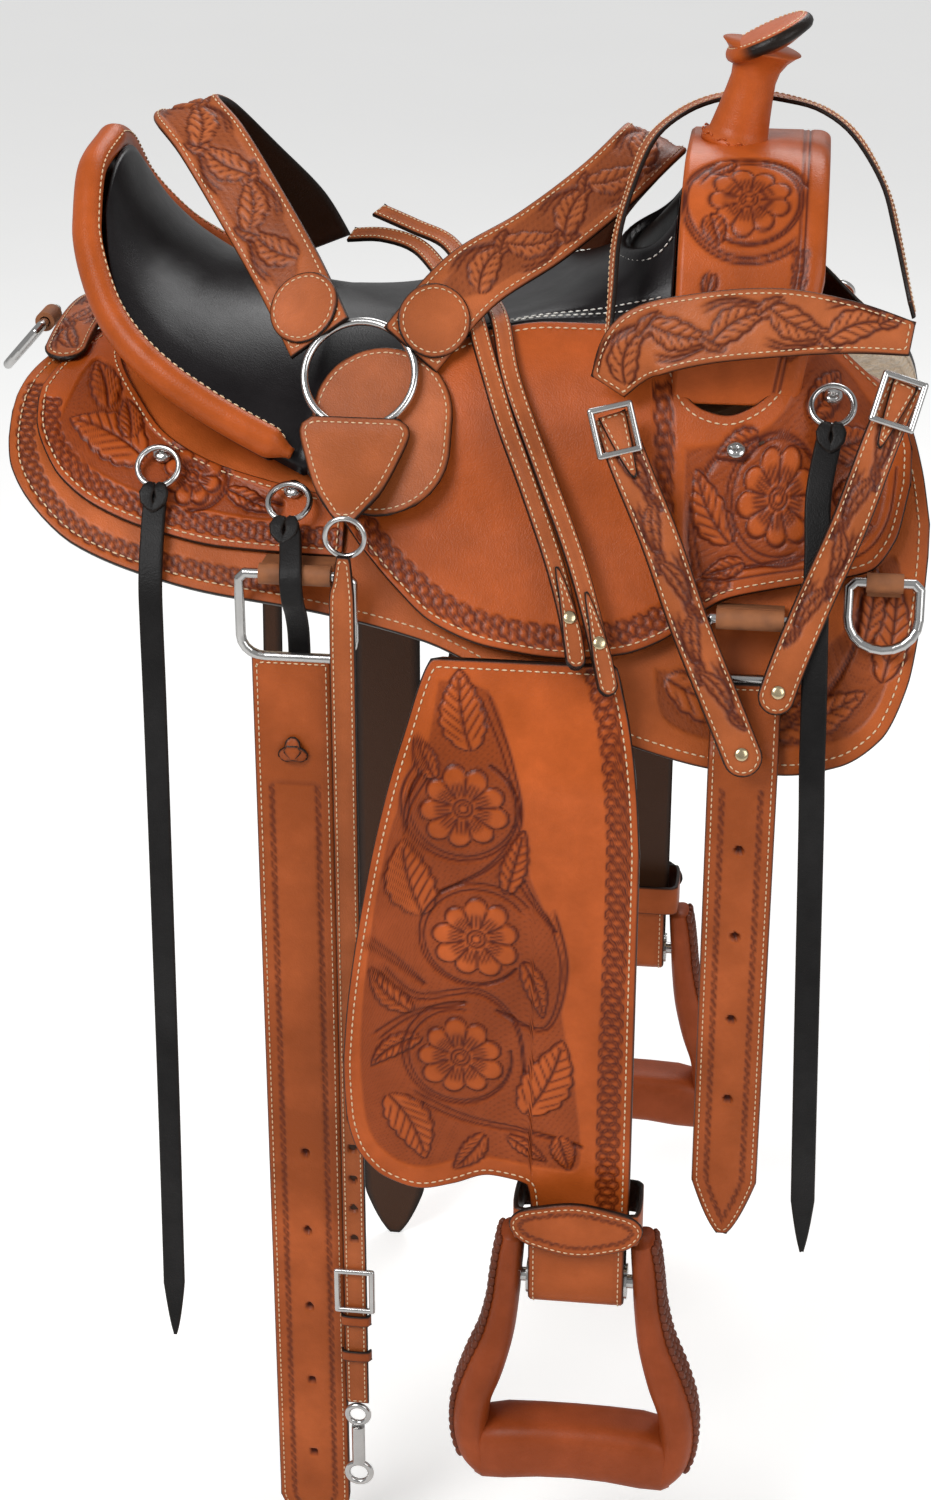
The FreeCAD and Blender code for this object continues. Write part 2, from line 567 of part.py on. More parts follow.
# ---------------------------------------------------------------- breast collar laid over the saddle
SLOPE = Vector(0, -0.586, -0.811)        # down the side of the saddle where the collar's ring lies
OUTWARD = SLOPE.cross(Vector(-1, 0, 0))
if OUTWARD.z < 0:
    OUTWARD = OUTWARD * -1
RING_AT = Vector(-53, -143, 37)
COLLAR_RING, COLLAR_WIRE = 37.0, 2.8
SMALL_AT = Vector(-53, -214, -51)
SMALL_RING, SMALL_WIRE = 13.0, 2.0


def on_ring(across_part, down_part, radius=COLLAR_RING):
    return RING_AT + Vector(radius * across_part, 0, 0) + SLOPE * (radius * down_part)


rear_end, front_end = on_ring(-0.77, -0.64), on_ring(0.88, -0.48)
lift = OUTWARD * 1.5
rear_arm = [tuple(rear_end + lift), (-107, -95, 89), (-137, -60, 123), (-172, -24, 162), (-196, 6, 178),
            (-190, 40, 168), (-168, 84, 128), (-144, 128, 84), (-130, 158, 44)]
front_arm = [tuple(front_end + lift), (15, -98, 90), (58, -60, 112), (98, -26, 139), (124, 6, 160), (128, 38, 158),
             (108, 78, 130), (84, 116, 94), (64, 148, 50)]


def turning(lean, first, last, count=9):
    """Ways a strap faces while it goes over the top, from first to last degrees about X."""
    return [(lean, math.sin(math.radians(a)), math.cos(math.radians(a))) for a in spread(first, last, count)]


arms = [strap(rear_arm, 48, 3.4, turning(-0.3, -62, 55)), strap(front_arm, 46, 3.4, turning(0.4, -60, 55))]
shield_at = Vector(-37, -160, 5) - OUTWARD * 4.5
oval = Part.Ellipse(Vector(0, 0, 0), 58, 47)
shield = Part.Face(Part.Wire(oval.toShape())).extrude(Vector(0, 0, 3.2))
shield.Placement = Placement(FreeCAD.Matrix(SLOPE.x, 1, OUTWARD.x, shield_at.x, SLOPE.y, 0, OUTWARD.y, shield_at.y,
                                            SLOPE.z, 0, OUTWARD.z, shield_at.z, 0, 0, 0, 1))
tug = strap([tuple(on_ring(0, 1.03)), (-53, -183, -11), (-53, -199, -26), (-53, -211, -35)], [74, 60, 42, 22], 3.6,
            tuple(OUTWARD), 12)
save("breast_collar", *(arms + [shield, tug]))
save("breast_collar_rings", Part.makeTorus(COLLAR_RING, COLLAR_WIRE, RING_AT, OUTWARD),
     Part.makeTorus(SMALL_RING, SMALL_WIRE, SMALL_AT, Vector(0, 1, 0)))

TIE_X, TIE_Y, TIE_WIDTH = -55.0, -220.0, 17.0
tie_end = -745.0
tie_loop = sleeve((SMALL_AT.x, SMALL_AT.y, SMALL_AT.z - SMALL_RING), 8, 6.6, 3.6)
tie = plate([(TIE_X - TIE_WIDTH / 2, -84), (SMALL_AT.x - 4, -68), (SMALL_AT.x + 4, -68), (TIE_X + TIE_WIDTH / 2, -84),
             (TIE_X + TIE_WIDTH / 2, tie_end), (TIE_X - TIE_WIDTH / 2, tie_end)], TIE_Y, 3)
tie = tie.cut(Part.makeCylinder(3.6, 20, Vector(SMALL_AT.x - 10, SMALL_AT.y, SMALL_AT.z - SMALL_RING), across))
save("tie_strap", tie.fuse(tie_loop).removeSplitter())


def frame_at(at, out, up, wide, tall, wire):
    """Rectangular buckle frame of round wire lying on a strap at a point."""
    out, up = Vector(*out), Vector(*up)
    side = out.cross(up)
    side.normalize()
    up = side.cross(out)
    up.normalize()
    corners = [at + side * (wide / 2 * i) + up * (tall / 2 * j) for i, j in
               ((0, 1), (1, 1), (1, -1), (-1, -1), (-1, 1), (0, 1))]
    return pipe([tuple(c) for c in corners], wire)


buckle = frame_at(Vector(TIE_X, TIE_Y - 4.2, -640), (0, -1, 0), (0, 0, 1), 26, 34, 2.2)
snap_top = Part.makeTorus(8, 2.2, Vector(TIE_X, TIE_Y, tie_end - 11), Vector(0, 1, 0))
snap_body = Part.makeCylinder(5, 34, Vector(TIE_X, TIE_Y, tie_end - 56), Vector(0, 0, 1))
snap_hook = Part.makeTorus(9, 2.4, Vector(TIE_X, TIE_Y, tie_end - 66), Vector(0, 1, 0))
save("tie_strap_hardware", buckle, snap_top.fuse([snap_body, snap_hook]).removeSplitter())

# ---------------------------------------------------------------- reins laid over the seat, ends hanging
rein_a = [(-93, 75, 74), (-65, 55, 80), (-36, 30, 78), (-8, -20, 67), (14, -86, 70), (29, -127, 48),
                 (46, -161, 14), (65, -180, -27), (84, -203, -69), (96, -222, -103), (102, -240, -126)]
rein_b = [(-73, 78, 92), (-42, 50, 88), (-14, 22, 84), (10, -30, 72), (34, -95, 67), (48, -140, 36),
                 (74, -175, -16), (97, -203, -63), (113, -228, -104), (124, -248, -140)]
save("reins", strap(rein_a, 13, 3, (0.1, -0.6, 0.8)), strap(rein_b, 13, 3, (0.1, -0.6, 0.8)))

# ---------------------------------------------------------------- headstall hung round the horn
FACE = (0.11, -0.9, 0.42)
crown = [(111, -140, 60), (111, -115, 88), (111, -85, 118), (117, -50, 143), (127, -15, 168),
                (146, 16, 181), (169, 29, 189), (195, 31, 192), (222, 24, 190), (246, 6, 186), (267, -15, 173),
                (286, -50, 148), (295, -85, 124), (301, -115, 104), (305, -138, 92)]
crown_outs = [(-1, 0, 0.3 + 0.1 * i) for i in range(4)] + [(-0.7, 0, 0.9), (-0.4, 0, 1), (-0.1, 0, 1), (0, 0, 1),
                                                         (0.2, 0, 1), (0.5, 0, 1), (0.8, 0, 0.8), (1, 0, 0.5),
                                                         (1, 0, 0.4), (1, 0, 0.3), (1, 0, 0.3)]
brow = [(112, -152, 38), (132, -154, 67), (171, -156, 80), (221, -156, 86), (266, -154, 84), (306, -152, 77)]
cheek_left = [(116, -163, 22), (130, -184, -5), (152, -204, -48), (173, -221, -98), (195, -236, -144),
                     (217, -251, -190)]
cheek_right = [(303, -160, 50), (289, -178, 15), (273, -199, -31), (253, -213, -81), (238, -228, -120),
                      (228, -241, -150)]
save("headstall", strap(crown, 15, 3, crown_outs), strap(brow, [26, 46, 46, 44, 34, 22], 3.2, FACE),
     strap(cheek_left, 26, 3.4, FACE), strap(cheek_right, 24, 3.4, FACE))
buckle_left = frame_at(Vector(119, -177, 17), FACE, (-0.3, 0.4, 1), 26, 30, 2.2)
buckle_right = frame_at(Vector(299, -174, 42), FACE, (0.3, 0.4, 1), 26, 30, 2.2)
save("headstall_buckles", buckle_left, buckle_right)
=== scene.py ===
import math

import bmesh
import bpy
import numpy as np
from mathutils import Matrix, Vector


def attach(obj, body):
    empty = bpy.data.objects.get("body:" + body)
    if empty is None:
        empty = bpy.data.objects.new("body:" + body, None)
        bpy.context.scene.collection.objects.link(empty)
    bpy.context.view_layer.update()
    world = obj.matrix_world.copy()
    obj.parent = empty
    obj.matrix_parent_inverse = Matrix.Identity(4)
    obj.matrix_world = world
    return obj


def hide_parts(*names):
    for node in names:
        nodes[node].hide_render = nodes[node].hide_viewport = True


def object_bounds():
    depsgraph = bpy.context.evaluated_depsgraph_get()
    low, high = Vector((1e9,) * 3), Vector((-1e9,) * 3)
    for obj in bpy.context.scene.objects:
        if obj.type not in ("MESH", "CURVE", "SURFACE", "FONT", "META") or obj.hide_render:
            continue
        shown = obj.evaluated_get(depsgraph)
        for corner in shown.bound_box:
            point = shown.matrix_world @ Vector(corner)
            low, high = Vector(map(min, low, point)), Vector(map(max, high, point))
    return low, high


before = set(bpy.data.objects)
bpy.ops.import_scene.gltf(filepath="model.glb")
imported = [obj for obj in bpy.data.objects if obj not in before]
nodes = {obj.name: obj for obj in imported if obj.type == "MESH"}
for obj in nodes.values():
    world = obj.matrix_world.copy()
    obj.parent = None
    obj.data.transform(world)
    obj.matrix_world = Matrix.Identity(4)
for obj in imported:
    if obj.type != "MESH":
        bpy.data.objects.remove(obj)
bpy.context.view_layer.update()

# ---------------------------------------------------------------- skirts
# The skirts are two big sheets of saddle leather that lie along the horse's back and carry all the rest. They are
# cut from heavy hide, stained a warm brown, stitched all round to the sheepskin below and blacked at their edges.
SKIRT_OUT = [(-298, 118), (-296, 140), (-290, 162), (-270, 188), (-241, 209), (-199, 222), (-150, 230), (-87, 234),
             (-6, 247), (80, 285), (144, 310), (200, 322), (240, 324), (274, 318), (301, 300), (317, 264), (324, 215),
             (326, 180)]
SKIRT_IN = [(-298, 104), (-295, 86), (-285, 58), (-270, 28), (-255, 8), (-240, 1.5), (-200, 1.5), (-160, 22), (0, 26),
            (220, 26), (262, 30), (290, 48), (309, 84), (320, 125), (326, 160)]
SKIRT_TOP, SKIRT_THICK = 15.8, 4.5        # height of its face over the horse's back, and the hide's thickness
ARC, SPAN = 190, 300                      # how far down the back's round part reaches, and its scale along x
ON_SADDLE = ("saddle", "saddle")          # a right and a left piece that are both fixed to the saddle


def ease(low, high, value):
    t = np.clip((value - low) / (high - low), 0, 1)
    return t * t * (3 - 2 * t)


def table(points, x):
    """Smooth curve through (x, value) points that doesn't overshoot them."""
    if x <= points[0][0]:
        return points[0][1]
    if x >= points[-1][0]:
        return points[-1][1]
    k = max(i for i in range(len(points) - 1) if points[i][0] <= x)
    slopes = [(b[1] - a[1]) / (b[0] - a[0]) for a, b in zip(points, points[1:])]

    def tangent(i):
        if i == 0 or i == len(points) - 1:
            return slopes[min(i, len(slopes) - 1)]
        a, b = slopes[i - 1], slopes[i]
        return 0.0 if a * b <= 0 else 2 * a * b / (a + b)

    (x0, y0), (x1, y1) = points[k], points[k + 1]
    step = x1 - x0
    t = (x - x0) / step
    return ((2 * t**3 - 3 * t**2 + 1) * y0 + (t**3 - 2 * t**2 + t) * step * tangent(k)
            + (3 * t**2 - 2 * t**3) * y1 + (t**3 - t**2) * step * tangent(k + 1))


def on_back(flat, height):
    """Places flat (x, s) points at a height over the form of the horse's back, on the right side. Millimetres."""
    x, s = flat[..., 0], flat[..., 1]
    slope = np.radians(56 + 9 * x / SPAN)
    radius = ARC / slope
    arc = np.minimum(s, ARC)
    turn = arc / radius
    y = radius * np.sin(turn) + (s - arc) * np.cos(slope)
    z = -radius * (1 - np.cos(turn)) - (s - arc) * np.sin(slope) + 12 * (x / SPAN) ** 2
    return np.stack([x, -(y + height * np.sin(turn)), z + height * np.cos(turn)], -1)


def smooth(points, per=8):
    """Catmull-Rom line through a few points."""
    p = np.array(points, float)
    rows = []
    for i in range(len(p) - 1):
        a, b, c, d = p[max(i - 1, 0)], p[i], p[i + 1], p[min(i + 2, len(p) - 1)]
        for t in np.arange(per) / per:
            rows.append(0.5 * (2 * b + (c - a) * t + (2 * a - 5 * b + 4 * c - d) * t**2
                               + (3 * b - a - 3 * c + d) * t**3))
    return np.array(rows + [p[-1]])


def unit(vectors):
    return vectors / (np.linalg.norm(vectors, axis=-1, keepdims=True) + 1e-9)


def travelled(line):
    """How far along a line each of its points is."""
    return np.concatenate([[0], np.cumsum(np.linalg.norm(np.diff(line, axis=0), axis=1))])


def look_up(at, run, rows):
    """The rows at these places along run, between the rows given."""
    return np.stack([np.interp(at, run, rows[:, k]) for k in range(rows.shape[1])], -1)


def evenly(line, step):
    """The same line with its points spaced evenly."""
    run = travelled(line[:, :3])
    return look_up(np.linspace(0, run[-1], max(4, round(run[-1] / step) + 1)), run, line)


def sideways(line):
    """Unit vectors square to a flat line."""
    way = unit(line)
    return np.stack([-way[:, 1], way[:, 0]], -1)


def groove(gap, wide):
    """Cross-section of a cut or stamp, 1 in its middle and fading to both sides."""
    return np.exp(-((gap / wide) ** 2))


def measure(flat, line):
    """How far each flat point is from a line, and how far along the line."""
    best, along, run = np.full(flat.shape[:-1], 1e9), np.zeros(flat.shape[:-1]), 0.0
    for a, b in zip(line[:-1], line[1:]):
        way = b - a
        length = math.hypot(*way)
        if length < 1e-6:
            continue
        part = flat - a
        t = np.clip((part @ way) / length**2, 0, 1)
        gap = np.hypot(part[..., 0] - t * way[0], part[..., 1] - t * way[1])
        closer = gap < best
        best[closer] = gap[closer]
        along[closer] = (run + t * length)[closer]
        run += length
    return best, along


class Tooling:
    """One piece of damp leather on the bench. The swivel knife's cuts and the stamps sink its face, and the stain
    stays in what is sunk."""

    def __init__(self, flat):
        self.flat = flat
        self.height = np.zeros(flat.shape[:-1])
        self.stain = np.zeros(flat.shape[:-1])
        ring = np.concatenate([flat[:-1, 0], flat[-1, :-1], flat[:0:-1, -1], flat[0, ::-1]])
        self.outline = evenly(ring, 4)
        self.edge, self.round_edge = measure(flat, self.outline)

    def press(self, how, depth, stain=1.0):
        self.height -= how * depth
        self.stain = np.maximum(self.stain, how * stain)

    def cut(self, points, width=1.25, depth=0.9, stain=1.0, round_it=True):
        line = smooth(points, 6) if round_it and len(points) > 2 else np.array(points, float)
        low, high = line.min(0) - 4 * width, line.max(0) + 4 * width
        near = np.all((self.flat > low) & (self.flat < high), -1)
        if near.any():
            gap, along = measure(self.flat[near], line)
            fade = ease(0, 6, along) * 0.6 + 0.4
            how = np.zeros(self.height.shape)
            how[near] = groove(gap, width) * fade
            self.press(how, depth, stain)

    def ground(self, outline, depth=0.55):
        """Matted ground between the flowers, beaten down with a checkered stamp."""
        line = smooth(outline + outline[:1], 6)
        x, y = self.flat[..., 0], self.flat[..., 1]
        inside = np.zeros(x.shape, bool)
        for (x0, y0), (x1, y1) in zip(line[:-1], line[1:]):
            if y0 != y1:
                inside ^= ((y0 > y) != (y1 > y)) & (x < (x1 - x0) * (y - y0) / (y1 - y0) + x0)
        gap, _ = measure(self.flat, line)
        how = np.where(inside, ease(0, 2.5, gap), 0)
        checks = 0.5 + 0.5 * np.sin(x * 2.4 + y) * np.sin(y * 2.4 - x)
        self.press(how, depth, 0.42)
        self.press(how * checks, 0.2, 0.68)

    def lay(self, inside, height):
        """Brings a petal or leaf back up to the face of the leather."""
        self.height = self.height * (1 - inside) + height * inside
        self.stain = self.stain * (1 - inside)

    def flower(self, x, y, size, petals=8, turn=0.0):
        dx, dy = self.flat[..., 0] - x, self.flat[..., 1] - y
        far, angle = np.hypot(dx, dy), np.arctan2(dy, dx) - turn
        lobe = np.abs(np.cos(angle * petals / 2))
        rim = size * (0.74 + 0.26 * lobe**0.6) * (1 + 0.05 * np.sin(angle * 3 + x))
        self.lay(ease(-0.8, 0.8, rim - far), 0.25 + 0.5 * np.sin(np.clip(far / rim, 0, 1) * 2.6))
        self.press(groove(far - rim, 1.5), 0.75)
        between, shifted = ((np.mod(angle * petals / (2 * np.pi) + by, 1) - 0.5) * 2 * np.pi / petals * far
                            for by in (0.5, 0))
        long = ease(size * 0.24, size * 0.3, far) * (1 - ease(rim * 0.86, rim, far))
        self.press(groove(shifted, 1.3) * long, 0.7)
        short = ease(size * 0.26, size * 0.34, far) * (1 - ease(size * 0.55, size * 0.72, far))
        for off in (-0.09, 0.0, 0.09):
            self.press(groove(between - off * size, 1.0) * short, 0.5, 0.9)
        self.press(groove(far - size * 0.21, 1.2), 0.7)
        self.press(groove(far - size * 0.11, 1.0), 0.4)

    def leaf(self, base, tip, half, bend=0.0, teeth=5):
        base, way = np.array(base, float), np.array(tip, float) - np.array(base, float)
        length = math.hypot(*way)
        part = self.flat - base
        a = (part @ way) / length**2
        b = (part[..., 1] * way[0] - part[..., 0] * way[1]) / length - bend * 4 * a * (1 - a) * length
        inner = np.clip(a, 0, 1)
        wide = half * np.sin(np.pi * inner**0.75) ** 0.8 * (0.86 + 0.14 * np.abs(np.sin(np.pi * inner * teeth)))
        wide = np.where((a < 0) | (a > 1), -3, wide)
        gap = wide - np.abs(b)
        self.lay(ease(-0.8, 0.8, gap), 0.2 + 0.45 * np.clip(np.abs(b) / half, 0, 1))
        self.press(groove(gap, 1.45), 0.75)
        within = ease(0, 1.5, gap)
        self.press(groove(b, 1.25) * within * (1 - ease(0.85, 0.98, a)), 0.7)
        pitch = length / (teeth + 1.5)
        vein = np.mod(a * length - np.abs(b) * 1.1, pitch) - pitch / 2
        shown = within * ease(0.1, 0.2, a) * (1 - ease(0.7, 0.9, np.abs(b) / half))
        self.press(groove(vein, 1.15) * shown, 0.5, 0.9)

    def sprig(self, points, wide=4.0):
        """A curling stem: two cuts that close to a point."""
        line = smooth(points, 6)
        side = sideways(np.gradient(line, axis=0))
        half = (wide / 2 * np.linspace(1, 0.12, len(line)))[:, None]
        for k in (-1, 1):
            self.cut(line + side * half * k, round_it=False)
        self.cut(line[: len(line) * 2 // 3], 0.6, 0.35, 0.6, round_it=False)

    def curl(self, x, y, size, start, sweep, wide=5.0):
        """A stem that curls round a flower."""
        turns = np.linspace(math.radians(start), math.radians(start + sweep), 22)
        grow = np.linspace(1.12, 0.98, 22) * size
        self.sprig([(x + r * math.cos(t), y + r * math.sin(t)) for r, t in zip(grow, turns)], wide)

    def shells(self, line, half, pitch):
        """Border of two rows of half-round shell stamps back to back along a line."""
        line = evenly(smooth(line, 6), 4)
        low, high = line.min(0) - 2 * half, line.max(0) + 2 * half
        near = np.all((self.flat > low) & (self.flat < high), -1)
        if not near.any():
            return
        gap, along = measure(self.flat[near], line)
        here = np.mod(along, pitch) - pitch / 2
        next_one = np.mod(along + pitch / 2, pitch) - pitch / 2
        keep = (1 - ease(half, half + 0.8, gap)) * (along > 0.5)
        how = np.zeros(gap.shape)
        for across, centre in ((here, 0.45 * half), (next_one, 0.1 * half)):
            far = np.hypot(across, gap - centre)
            for ring, weight in ((0.55 * half, 1.0), (0.33 * half, 0.8)):
                how = np.maximum(how, weight * groove(far - ring, 0.95))
            rays = np.cos(np.arctan2(gap - centre, across) * 9) > 0.2
            how = np.maximum(how, 0.55 * rays * (far < 0.5 * half) * (far > 0.36 * half))
        full = np.zeros(self.height.shape)
        full[near] = how * keep
        self.press(full, 0.6, 0.95)
        full[near] = keep * 0.5
        self.press(full, 0.12, 0.3)

    def scallops(self, at, pitch, half, keep=1):
        """Row of small half-round stamps at a distance from the edge."""
        across = np.mod(self.round_edge, pitch) - pitch / 2
        up = self.edge - at
        far = np.hypot(across, up)
        how = np.maximum(groove(far - half * 0.9, 0.9), 0.8 * groove(far - half * 0.45, 0.7)) * (up > -0.4)
        self.press(how * keep, 0.45, 0.85)

    def inset(self, by, step=4.0):
        """The line a stitching wheel runs, that far in from the edge."""
        ring = evenly(self.outline, step)
        side = sideways(np.roll(ring, -1, 0) - np.roll(ring, 1, 0))
        area = np.sum(ring[:, 0] * np.roll(ring[:, 1], -1) - np.roll(ring[:, 0], -1) * ring[:, 1])
        line = ring + side * by * (1 if area > 0 else -1)
        gap, _ = measure(line, self.outline)
        line = line[gap > by * 0.96]
        return np.concatenate([line, line[:1]])


def in_scene(name, mesh):
    made = bpy.data.objects.new(name, mesh)
    bpy.context.scene.collection.objects.link(made)
    return made


def finish_mesh(name, points, faces, floats, flat, material, mirror=False):
    """Object from points in millimetres, with its floats on the points and its flat places as UV."""
    mesh = bpy.data.meshes.new(name)
    points = points * (1, -1, 1) if mirror else points
    mesh.from_pydata((points * 0.001).tolist(), [], faces)
    work = bmesh.new()
    work.from_mesh(mesh)
    bmesh.ops.recalc_face_normals(work, faces=work.faces)
    work.to_mesh(mesh)
    work.free()
    for key, values in floats.items():
        mesh.attributes.new(key, "FLOAT", "POINT").data.foreach_set("value", np.asarray(values, np.float32).ravel())
    if flat is not None:
        corner = np.empty(len(mesh.loops), np.int32)
        mesh.loops.foreach_get("vertex_index", corner)
        mesh.uv_layers.new(name="flat").data.foreach_set("uv", (flat[corner] * 0.001).astype(np.float32).ravel())
    mesh.shade_smooth()
    mesh.materials.append(material)
    return in_scene(name, mesh)


def sides(bodies):
    """Each body with whether its piece is mirrored, and the ending of the piece's name."""
    return zip(bodies, (False, True), ("_right", "_left") if len(bodies) == 2 else ("",))


RELIEF = 1.45                            # how much deeper the stamps go than in a light practice piece


def leather_piece(name, tooling, place, thick, material, bodies, stands_for, coarse=6):
    """Closed piece of leather: the tooled face, rounded black edges and a plain flesh side. place(flat, height) puts
    flat points over the piece's face. bodies holds the right and left body, or one."""
    flat = tooling.flat
    rows, cols = flat.shape[:2]
    soft = min(thick / 2, 1.5)
    into = np.clip(soft - tooling.edge, 0, soft)
    down = soft - np.sqrt(np.maximum(soft**2 - into**2, 0))
    face = place(flat, RELIEF * tooling.height * ease(0.5, 2.5, tooling.edge) - down)
    some_rows = sorted(set(range(0, rows, coarse)) | {rows - 1})
    some_cols = sorted(set(range(0, cols, coarse)) | {cols - 1})
    back_flat = flat[np.ix_(some_rows, some_cols)]
    back = place(back_flat, -thick)
    top = np.arange(rows * cols).reshape(rows, cols)
    low = np.arange(len(some_rows) * len(some_cols)).reshape(len(some_rows), -1) + rows * cols
    faces = np.stack([top[:-1, :-1], top[1:, :-1], top[1:, 1:], top[:-1, 1:]], -1).reshape(-1, 4).tolist()
    faces += np.stack([low[:-1, :-1], low[:-1, 1:], low[1:, 1:], low[1:, :-1]], -1).reshape(-1, 4).tolist()
    for fine, rough, stops in ((top[:, 0], low[:, 0], some_rows), (top[:, -1], low[:, -1], some_rows),
                               (top[0], low[0], some_cols), (top[-1], low[-1], some_cols)):
        for k, (i, j) in enumerate(zip(stops[:-1], stops[1:])):
            middle = (i + j + 1) // 2
            for m in range(i, j):
                faces.append([int(fine[m]), int(fine[m + 1]), int(rough[k if m < middle else k + 1])])
            faces.append([int(fine[middle]), int(rough[k + 1]), int(rough[k])])
    points = np.concatenate([face.reshape(-1, 3), back.reshape(-1, 3)])
    count = len(back.reshape(-1, 3))
    # Darker towards every edge; the stain value also carries the painted shade in strap holes.
    rubbed = np.maximum(tooling.stain, 0.26 * np.exp(-tooling.edge / 6.0))
    # The flesh value makes the back of each piece dark brown away from its black rim: painted shade on the undersides.
    floats = {"stain": np.concatenate([rubbed.ravel(), np.zeros(count)]),
              "edge": np.concatenate([1 - ease(0.5, 1.3, tooling.edge).ravel(), np.ones(count)]),
              "flesh": np.concatenate([np.zeros(rows * cols),
                                       ease(1.0, 3.0, tooling.edge[np.ix_(some_rows, some_cols)]).ravel()])}
    uv = np.concatenate([flat.reshape(-1, 2), back_flat.reshape(-1, 2)])
    made = []
    for body, mirror, ending in sides(bodies):
        piece = finish_mesh("shown_" + name + ending, points, faces, floats, uv, material, mirror)
        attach(piece, body)
        if stands_for:
            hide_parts(*[node + ending for node in stands_for])
        made.append(piece)
    return made


EDGE = (0.012, 0.007, 0.005)             # edges burnished with black wax
FLESH_SHADE = (0.062, 0.026, 0.013)            # back of the hide in dark brown: painted shade on the undersides


def leather(name, colour, dark, rough=0.42, grain=0.25, coat=0.18):
    """Oiled tooling leather: mottled by hand rubbing, darker in the cuts, blacked along the edges, with pores."""
    material = bpy.data.materials.new(name)
    material.use_nodes = True
    tree = material.node_tree
    shader = tree.nodes["Principled BSDF"]
    link = tree.links.new

    def node(kind, **values):
        made = tree.nodes.new(kind)
        for key, value in values.items():
            if key in made.inputs:
                made.inputs[key].default_value = value
            else:
                setattr(made, key, value)
        return made

    place = node("ShaderNodeTexCoord")
    cloudy = node("ShaderNodeTexNoise", Scale=11.0, Detail=5.0, Roughness=0.6)
    rubbed = node("ShaderNodeTexNoise", Scale=55.0, Detail=6.0, Roughness=0.65)
    pores = node("ShaderNodeTexVoronoi", Scale=900.0)
    hair = node("ShaderNodeTexNoise", Scale=420.0, Detail=3.0)
    for texture in (cloudy, rubbed, pores, hair):
        link(place.outputs["Object"], texture.inputs["Vector"])
    stain = node("ShaderNodeAttribute", attribute_name="stain")
    edging = node("ShaderNodeAttribute", attribute_name="edge")
    back_shade = node("ShaderNodeAttribute", attribute_name="flesh")

    def mixed(kind, factor, a, b):
        made = tree.nodes.new("ShaderNodeMix")
        made.data_type, made.blend_type = "RGBA", kind
        for socket, value in ((made.inputs[0], factor), (made.inputs[6], a), (made.inputs[7], b)):
            if hasattr(value, "links"):
                link(value, socket)
            else:
                socket.default_value = value if isinstance(value, float) else (*value, 1)
        return made.outputs[2]

    spread = node("ShaderNodeMapRange", **{"From Min": 0.36, "From Max": 0.66})
    link(cloudy.outputs["Fac"], spread.inputs["Value"])
    light = tuple(min(c * 1.22 + 0.012, 1) for c in colour)
    deep = tuple(c * 0.74 for c in colour)
    base = mixed("MIX", spread.outputs["Result"], deep, light)
    fine = node("ShaderNodeMapRange", **{"From Min": 0.35, "From Max": 0.7, "To Min": 0.0, "To Max": 0.38})
    link(rubbed.outputs["Fac"], fine.inputs["Value"])
    base = mixed("MIX", fine.outputs["Result"], base, deep)
    # Dark where the stain value is high: real stain in the cuts and ground, painted shade in strap holes and the hand
    # hole.
    base = mixed("MIX", stain.outputs["Fac"], base, dark)
    base = mixed("MIX", edging.outputs["Fac"], base, EDGE)
    # The back of each piece is mixed to the dark flesh colour: painted shade on the undersides.
    base = mixed("MIX", back_shade.outputs["Fac"], base, FLESH_SHADE)
    link(base, shader.inputs["Base Color"])
    gloss = node("ShaderNodeMapRange", **{"To Min": rough - 0.09, "To Max": rough + 0.12})
    link(rubbed.outputs["Fac"], gloss.inputs["Value"])
    link(gloss.outputs["Result"], shader.inputs["Roughness"])
    first = node("ShaderNodeBump", Strength=grain, Distance=0.0006)
    link(pores.outputs["Distance"], first.inputs["Height"])
    second = node("ShaderNodeBump", Strength=grain * 0.8, Distance=0.0008)
    link(hair.outputs["Fac"], second.inputs["Height"])
    link(first.outputs["Normal"], second.inputs["Normal"])
    link(second.outputs["Normal"], shader.inputs["Normal"])
    shader.inputs["Coat Weight"].default_value = coat
    shader.inputs["Coat Roughness"].default_value = 0.28
    shader.inputs["Specular IOR Level"].default_value = 0.22
    return material


def stations(low, high, step):
    """Places from low to high, a step apart and closer at both ends."""
    count = max(8, round((high - low) / step * 1.2))
    t = np.linspace(0, 1, count)
    return low + (high - low) * (0.68 * t + 0.32 * (1 - np.cos(np.pi * t)) / 2)


def sheet_grid(x_range, inner, outer, step):
    """Flat points of a sheet from its inner to its outer outline, closer together at the edges."""
    xs = stations(*x_range, step)
    widest = max(outer(x) - inner(x) for x in xs[::10])
    count = max(10, round(widest / step))
    lead = np.array([0.0, 0.35, 0.9, 1.6]) / widest
    k = np.concatenate([lead, np.linspace(2.6 / widest, 1 - 2.6 / widest, count), (1 - lead)[::-1]])
    return np.array([[(x, inner(x) + (outer(x) - inner(x)) * t) for t in k] for x in xs])


